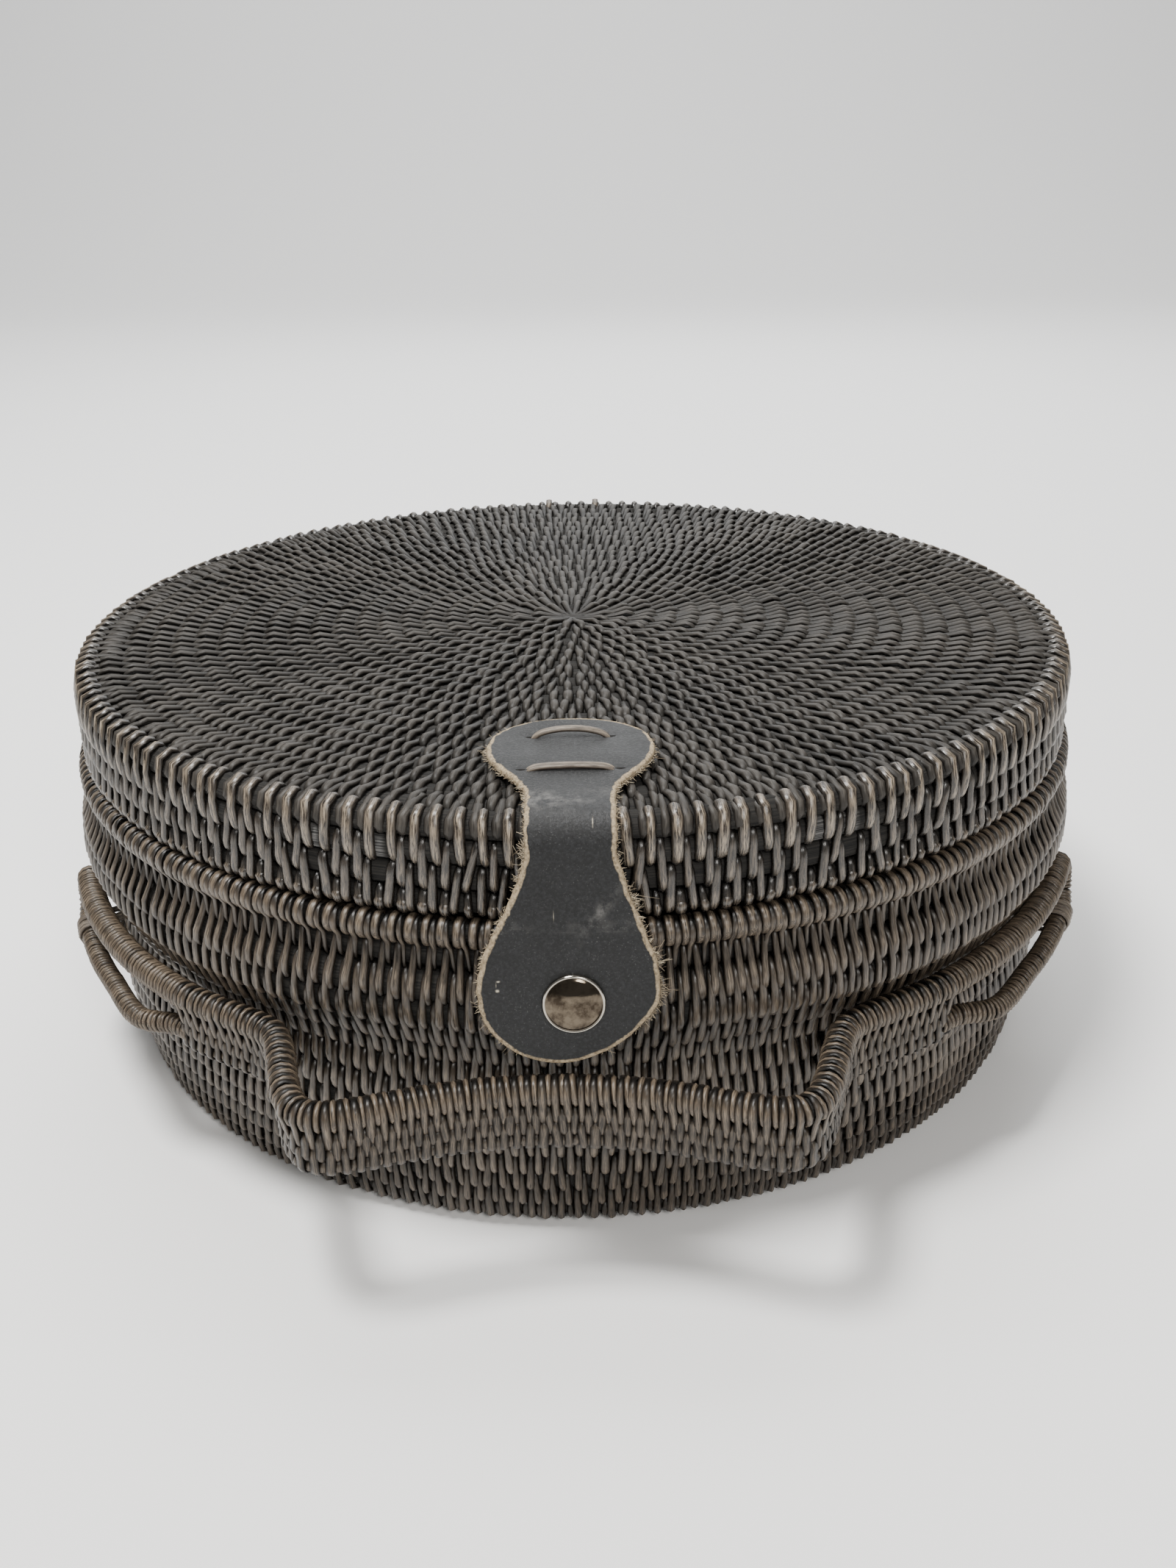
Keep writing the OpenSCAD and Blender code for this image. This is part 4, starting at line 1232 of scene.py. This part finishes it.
# Nicks in the flap's leather: place along and across, half length, half width and strength
NICKS = ((0.655, 0.595, 0.018, 0.004, 0.8), (0.90, 0.42, 0.020, 0.003, 0.4),
         (1.085, 0.17, 0.004, 0.012, 0.9), (1.112, 0.165, 0.006, 0.012, 1.0),
         (1.095, 0.16, 0.010, 0.003, 0.6))


def leather_material():
    """Worn black leather: greyer where it lies on the lid, partly dust and partly painted sheen, scuffed
    and speckled, with raw tan cut edges.
    """
    p = Paint("leather")
    edge, along, across, face = p.strand()
    where = p.where()
    grain = p.noise(where, 1150.0, 4.0, 0.62)
    clouds = p.noise(where, 55.0, 4.0, 0.6)
    speckle = p.noise(where, 2300.0, 2.0, 0.5)
    scratch_at = p.node("Mapping", {"Vector": where, "Scale": (1300.0, 120.0, 110.0)}).outputs[0]
    scratches = p.noise(scratch_at, 1.0, 2.0, 0.4)
    smudges = p.remap(p.noise(where, 260.0, 6.0, 0.7), 0.42, 0.68)
    dust = p.times(smudges, p.remap(clouds, 0.40, 0.60, 0.1, 1.0))
    # the part on the lid is painted greyer with paler pebbles: partly dust and partly painted sheen
    top_dust_and_sheen = p.remap(along, 0.52, 0.64, 1.0, 0.0)
    black, dusty = grey(0.0035, (0.95, 1.0, 1.1)), grey(0.010, (0.96, 1.0, 1.06))
    dyed = p.blend(p.remap(clouds, 0.35, 0.7), black, dusty)
    dyed = p.blend(p.times(top_dust_and_sheen, 0.7), dyed, grey(0.011, (0.97, 1.0, 1.04)))
    pebbles = p.times(p.remap(grain, 0.44, 0.64), p.remap(along, 0.55, 0.7, 0.9, 0.5))
    pebble = p.blend(top_dust_and_sheen, grey(0.024, (0.94, 1.0, 1.09)), grey(0.030, (0.98, 1.0, 1.02)))
    dyed = p.blend(pebbles, dyed, pebble)
    # paler smear round the bend: partly scuffing and partly painted highlight
    bend_wear_and_highlight = p.times(p.bell(along, 0.565, 0.085), dust)
    slope = p.add(along, p.times(across, 0.75))
    diagonal = p.times(p.bell(slope, 1.355, 0.05), p.bell(across, 0.62, 0.16))
    crease = p.times(p.bell(along, 0.945, 0.006), 0.45)
    above_crease = p.times(p.bell(along, 0.93, 0.03), 0.35)
    marks = p.times(p.most(p.most(diagonal, crease), above_crease), dust)
    dyed = p.blend(p.times(p.most(marks, bend_wear_and_highlight), 0.9), dyed, grey(0.16, (1.0, 0.97, 0.92)))
    flecks = p.times(p.remap(speckle, 0.64, 0.74, 0.0, 0.5), p.remap(clouds, 0.35, 0.6))
    dyed = p.blend(flecks, dyed, grey(0.12, (1.0, 0.97, 0.92)))
    dyed = p.blend(p.remap(scratches, 0.73, 0.79, 0.0, 0.3), dyed, grey(0.12))
    for at, side_at, long, wide, strength in NICKS:
        nick = p.times(p.bell(along, at, long), p.bell(across, side_at, wide))
        nick = p.times(nick, p.remap(grain, 0.35, 0.55, 0.2, strength))
        dyed = p.blend(nick, dyed, (0.55, 0.50, 0.40, 1))
    raw = p.blend(p.remap(grain, 0.3, 0.7), (0.12, 0.088, 0.052, 1), (0.44, 0.355, 0.235, 1))
    fray = p.add(edge, p.times(p.maths("SUBTRACT", dust, 0.4), 0.26))
    inside = p.remap(fray, 0.20, 0.29)
    suede = p.blend(p.remap(grain, 0.3, 0.7), grey(0.035, (1, 0.9, 0.8)), grey(0.09, (1, 0.9, 0.78)))
    colour = p.blend(inside, raw, p.blend(p.remap(face, 0.4, 0.6), suede, dyed))
    rough = p.most(p.remap(clouds, 0.3, 0.7, 0.46, 0.62), p.remap(inside, 0.0, 1.0, 0.9, 0.0))
    height = p.add(grain, p.times(clouds, 0.8))
    return p.finish(colour, rough, (height, 0.8, 0.25 * MM), Specular_IOR_Level=0.32)


def fibre_material():
    p = Paint("leather_fibre")
    return p.finish(p.blend(p.strand()[0], (0.16, 0.12, 0.08, 1), (0.50, 0.43, 0.31, 1)), 0.85)


def metal_material():
    """Nickel that has dulled in brown patches, with a painted highlight on its rolled ring."""
    p = Paint("nickel")
    where = p.where()
    blots = p.noise(where, 210.0, 5.0, 0.65)
    colour = p.blend(p.remap(blots, 0.42, 0.62), (0.125, 0.103, 0.077, 1), (0.038, 0.029, 0.021, 1))
    # painted highlight: the rolled ring is painted paler all round
    colour = p.blend(p.remap(p.strand()[0], 0.765, 0.785), colour, (0.40, 0.375, 0.33, 1))
    rough = p.remap(blots, 0.4, 0.65, 0.06, 0.24)
    return p.finish(colour, rough, (p.noise(where, 900.0), 0.12, 0.1 * MM), Metallic=1.0)


# ---------------------------------------------------------------- stage, light and camera

WORLD_LIGHT = 0.25
BASKET_MIDDLE, WALL_SPOT = (0, 0, 0.08), (0, 3.2, 0.8)


def backdrop(half_width, front, back, bend, height):
    """A floor that sweeps up into a wall behind the basket, with no visible corner."""
    turns = np.linspace(0, math.pi / 2, 24)
    line = [(front, 0)] + [(back + bend * math.sin(t), bend * (1 - math.cos(t))) for t in turns]
    line.append((back + bend, height))
    verts = [(x, y, z) for y, z in line for x in (-half_width, half_width)]
    faces = [(2 * i, 2 * i + 1, 2 * i + 3, 2 * i + 2) for i in range(len(line) - 1)]
    mesh = bpy.data.meshes.new("backdrop")
    mesh.from_pydata(verts, [], faces)
    mesh.shade_smooth()
    sheet = bpy.data.objects.new("backdrop", mesh)
    bpy.context.scene.collection.objects.link(sheet)
    floor = Paint("pale_floor").finish((0.90, 0.90, 0.895, 1), 0.95, Specular_IOR_Level=0.1)
    mesh.materials.append(floor)


def aimed(thing, spot, aim):
    """An object for a light or camera at the spot, looking along the aim."""
    seat = bpy.data.objects.new(thing.name, thing)
    seat.location = spot
    seat.rotation_euler = aim.to_track_quat("-Z", "Y").to_euler()
    bpy.context.scene.collection.objects.link(seat)
    return seat


def stage_and_light():
    backdrop(7.0, -4.0, 2.2, 2.2, 5.0)
    world = bpy.data.worlds.new("studio")
    world.use_nodes = True
    world.node_tree.nodes["Background"].inputs[0].default_value = (1.0, 0.995, 0.985, 1)
    world.node_tree.nodes["Background"].inputs[1].default_value = WORLD_LIGHT
    bpy.context.scene.world = world
    for name, spot, aim, size, power, colour in (
            ("key", (-0.35, -0.25, 1.4), BASKET_MIDDLE, 0.42, 31, (1.0, 0.985, 0.96)),
            ("front", (0.45, -1.5, 1.2), BASKET_MIDDLE, 0.6, 20, (1.0, 0.97, 0.93)),
            ("window", (0.15, 1.35, 1.25), BASKET_MIDDLE, 1.7, 12, (0.95, 0.98, 1.0)),
            ("backdrop_light", (0, 1.2, 2.6), WALL_SPOT, 2.5, 105, (1.0, 1.0, 1.0))):
        light = bpy.data.lights.new(name, "AREA")
        light.shape = "DISK"
        light.size = size
        light.energy = power
        light.color = colour
        aimed(light, spot, Vector(aim) - Vector(spot))


def camera():
    view = bpy.data.cameras.new("camera")
    view.lens = 33.7
    view.sensor_width = 36
    view.clip_start = 0.02
    pitch_down, roll = math.radians(24.3), math.radians(-1.0)
    aim = Vector((0, math.cos(pitch_down), -math.sin(pitch_down)))
    seat = aimed(view, (0.0047, -0.5145, 0.3026), aim)
    seat.rotation_euler.rotate_axis("Z", roll)
    bpy.context.scene.camera = seat


# ---------------------------------------------------------------- the whole basket

camera()
stage_and_light()

# Cane paints: dark, light and pale crown colours (partly from use, partly painted highlight), roughness,
# shine, crown amount, side shade and deep shade
# the lid's cane is painted greyer and cooler than the wall's: painted light from the cool light on its top
lid_paint = cane_material("cane_lid", (0.020, 0.0178, 0.0153), (0.045, 0.0402, 0.0349),
                          (0.078, 0.070, 0.060), 0.42, 0.20, 0.75, 0.6, 0.5)
skirt_paint = cane_material("cane_skirt", (0.012, 0.0098, 0.0078), (0.050, 0.0405, 0.032),
                            (0.26, 0.21, 0.158), 0.27, 0.62)
edge_paint = cane_material("cane_edge", (0.014, 0.0112, 0.009), (0.056, 0.045, 0.035),
                           (0.33, 0.27, 0.20), 0.28, 0.58, 1.0)
wall_paint = cane_material("cane_wall", (0.018, 0.0138, 0.0103), (0.092, 0.072, 0.0535),
                           (0.24, 0.192, 0.14), 0.32, 0.48, 0.75, 0.32)
rim_paint = cane_material("cane_rim", (0.024, 0.0182, 0.0132), (0.086, 0.066, 0.0475),
                          (0.24, 0.189, 0.135), 0.35, 0.42, 0.8, 0.42)
foot_paint = cane_material("cane_foot", (0.015, 0.0115, 0.0086), (0.066, 0.0515, 0.038),
                           (0.18, 0.143, 0.105), 0.36, 0.36, 0.75, 0.32)
band_paint = cane_material("cane_band", (0.0125, 0.0097, 0.0072), (0.054, 0.042, 0.031),
                           (0.16, 0.127, 0.093), 0.36, 0.34, 0.75, 0.32)
rod_paint = cane_material("cane_rod", (0.021, 0.0158, 0.0114), (0.077, 0.0585, 0.0415),
                          (0.22, 0.172, 0.122), 0.35, 0.38, 0.8, 0.42)
lace_paint = cane_material("cane_lace", (0.045, 0.032, 0.025), (0.15, 0.125, 0.10),
                           (0.29, 0.245, 0.19), 0.42, 0.3, 0.75, 0.8)
core = core_material()
leather = leather_material()
metal = metal_material()
lid_cane(lid_paint, skirt_paint, edge_paint, core)
body_cane(wall_paint, foot_paint, rim_paint, core)
gallery("front", -GALLERY_TURN, -GALLERY_TILT, rod_paint, band_paint, lace_paint, core)
gallery("back", math.pi, 0.0, rod_paint, band_paint, lace_paint, core)
strap(leather, fibre_material(), core)
laces(lace_paint)
hinge(leather, lace_paint)
snap(metal)
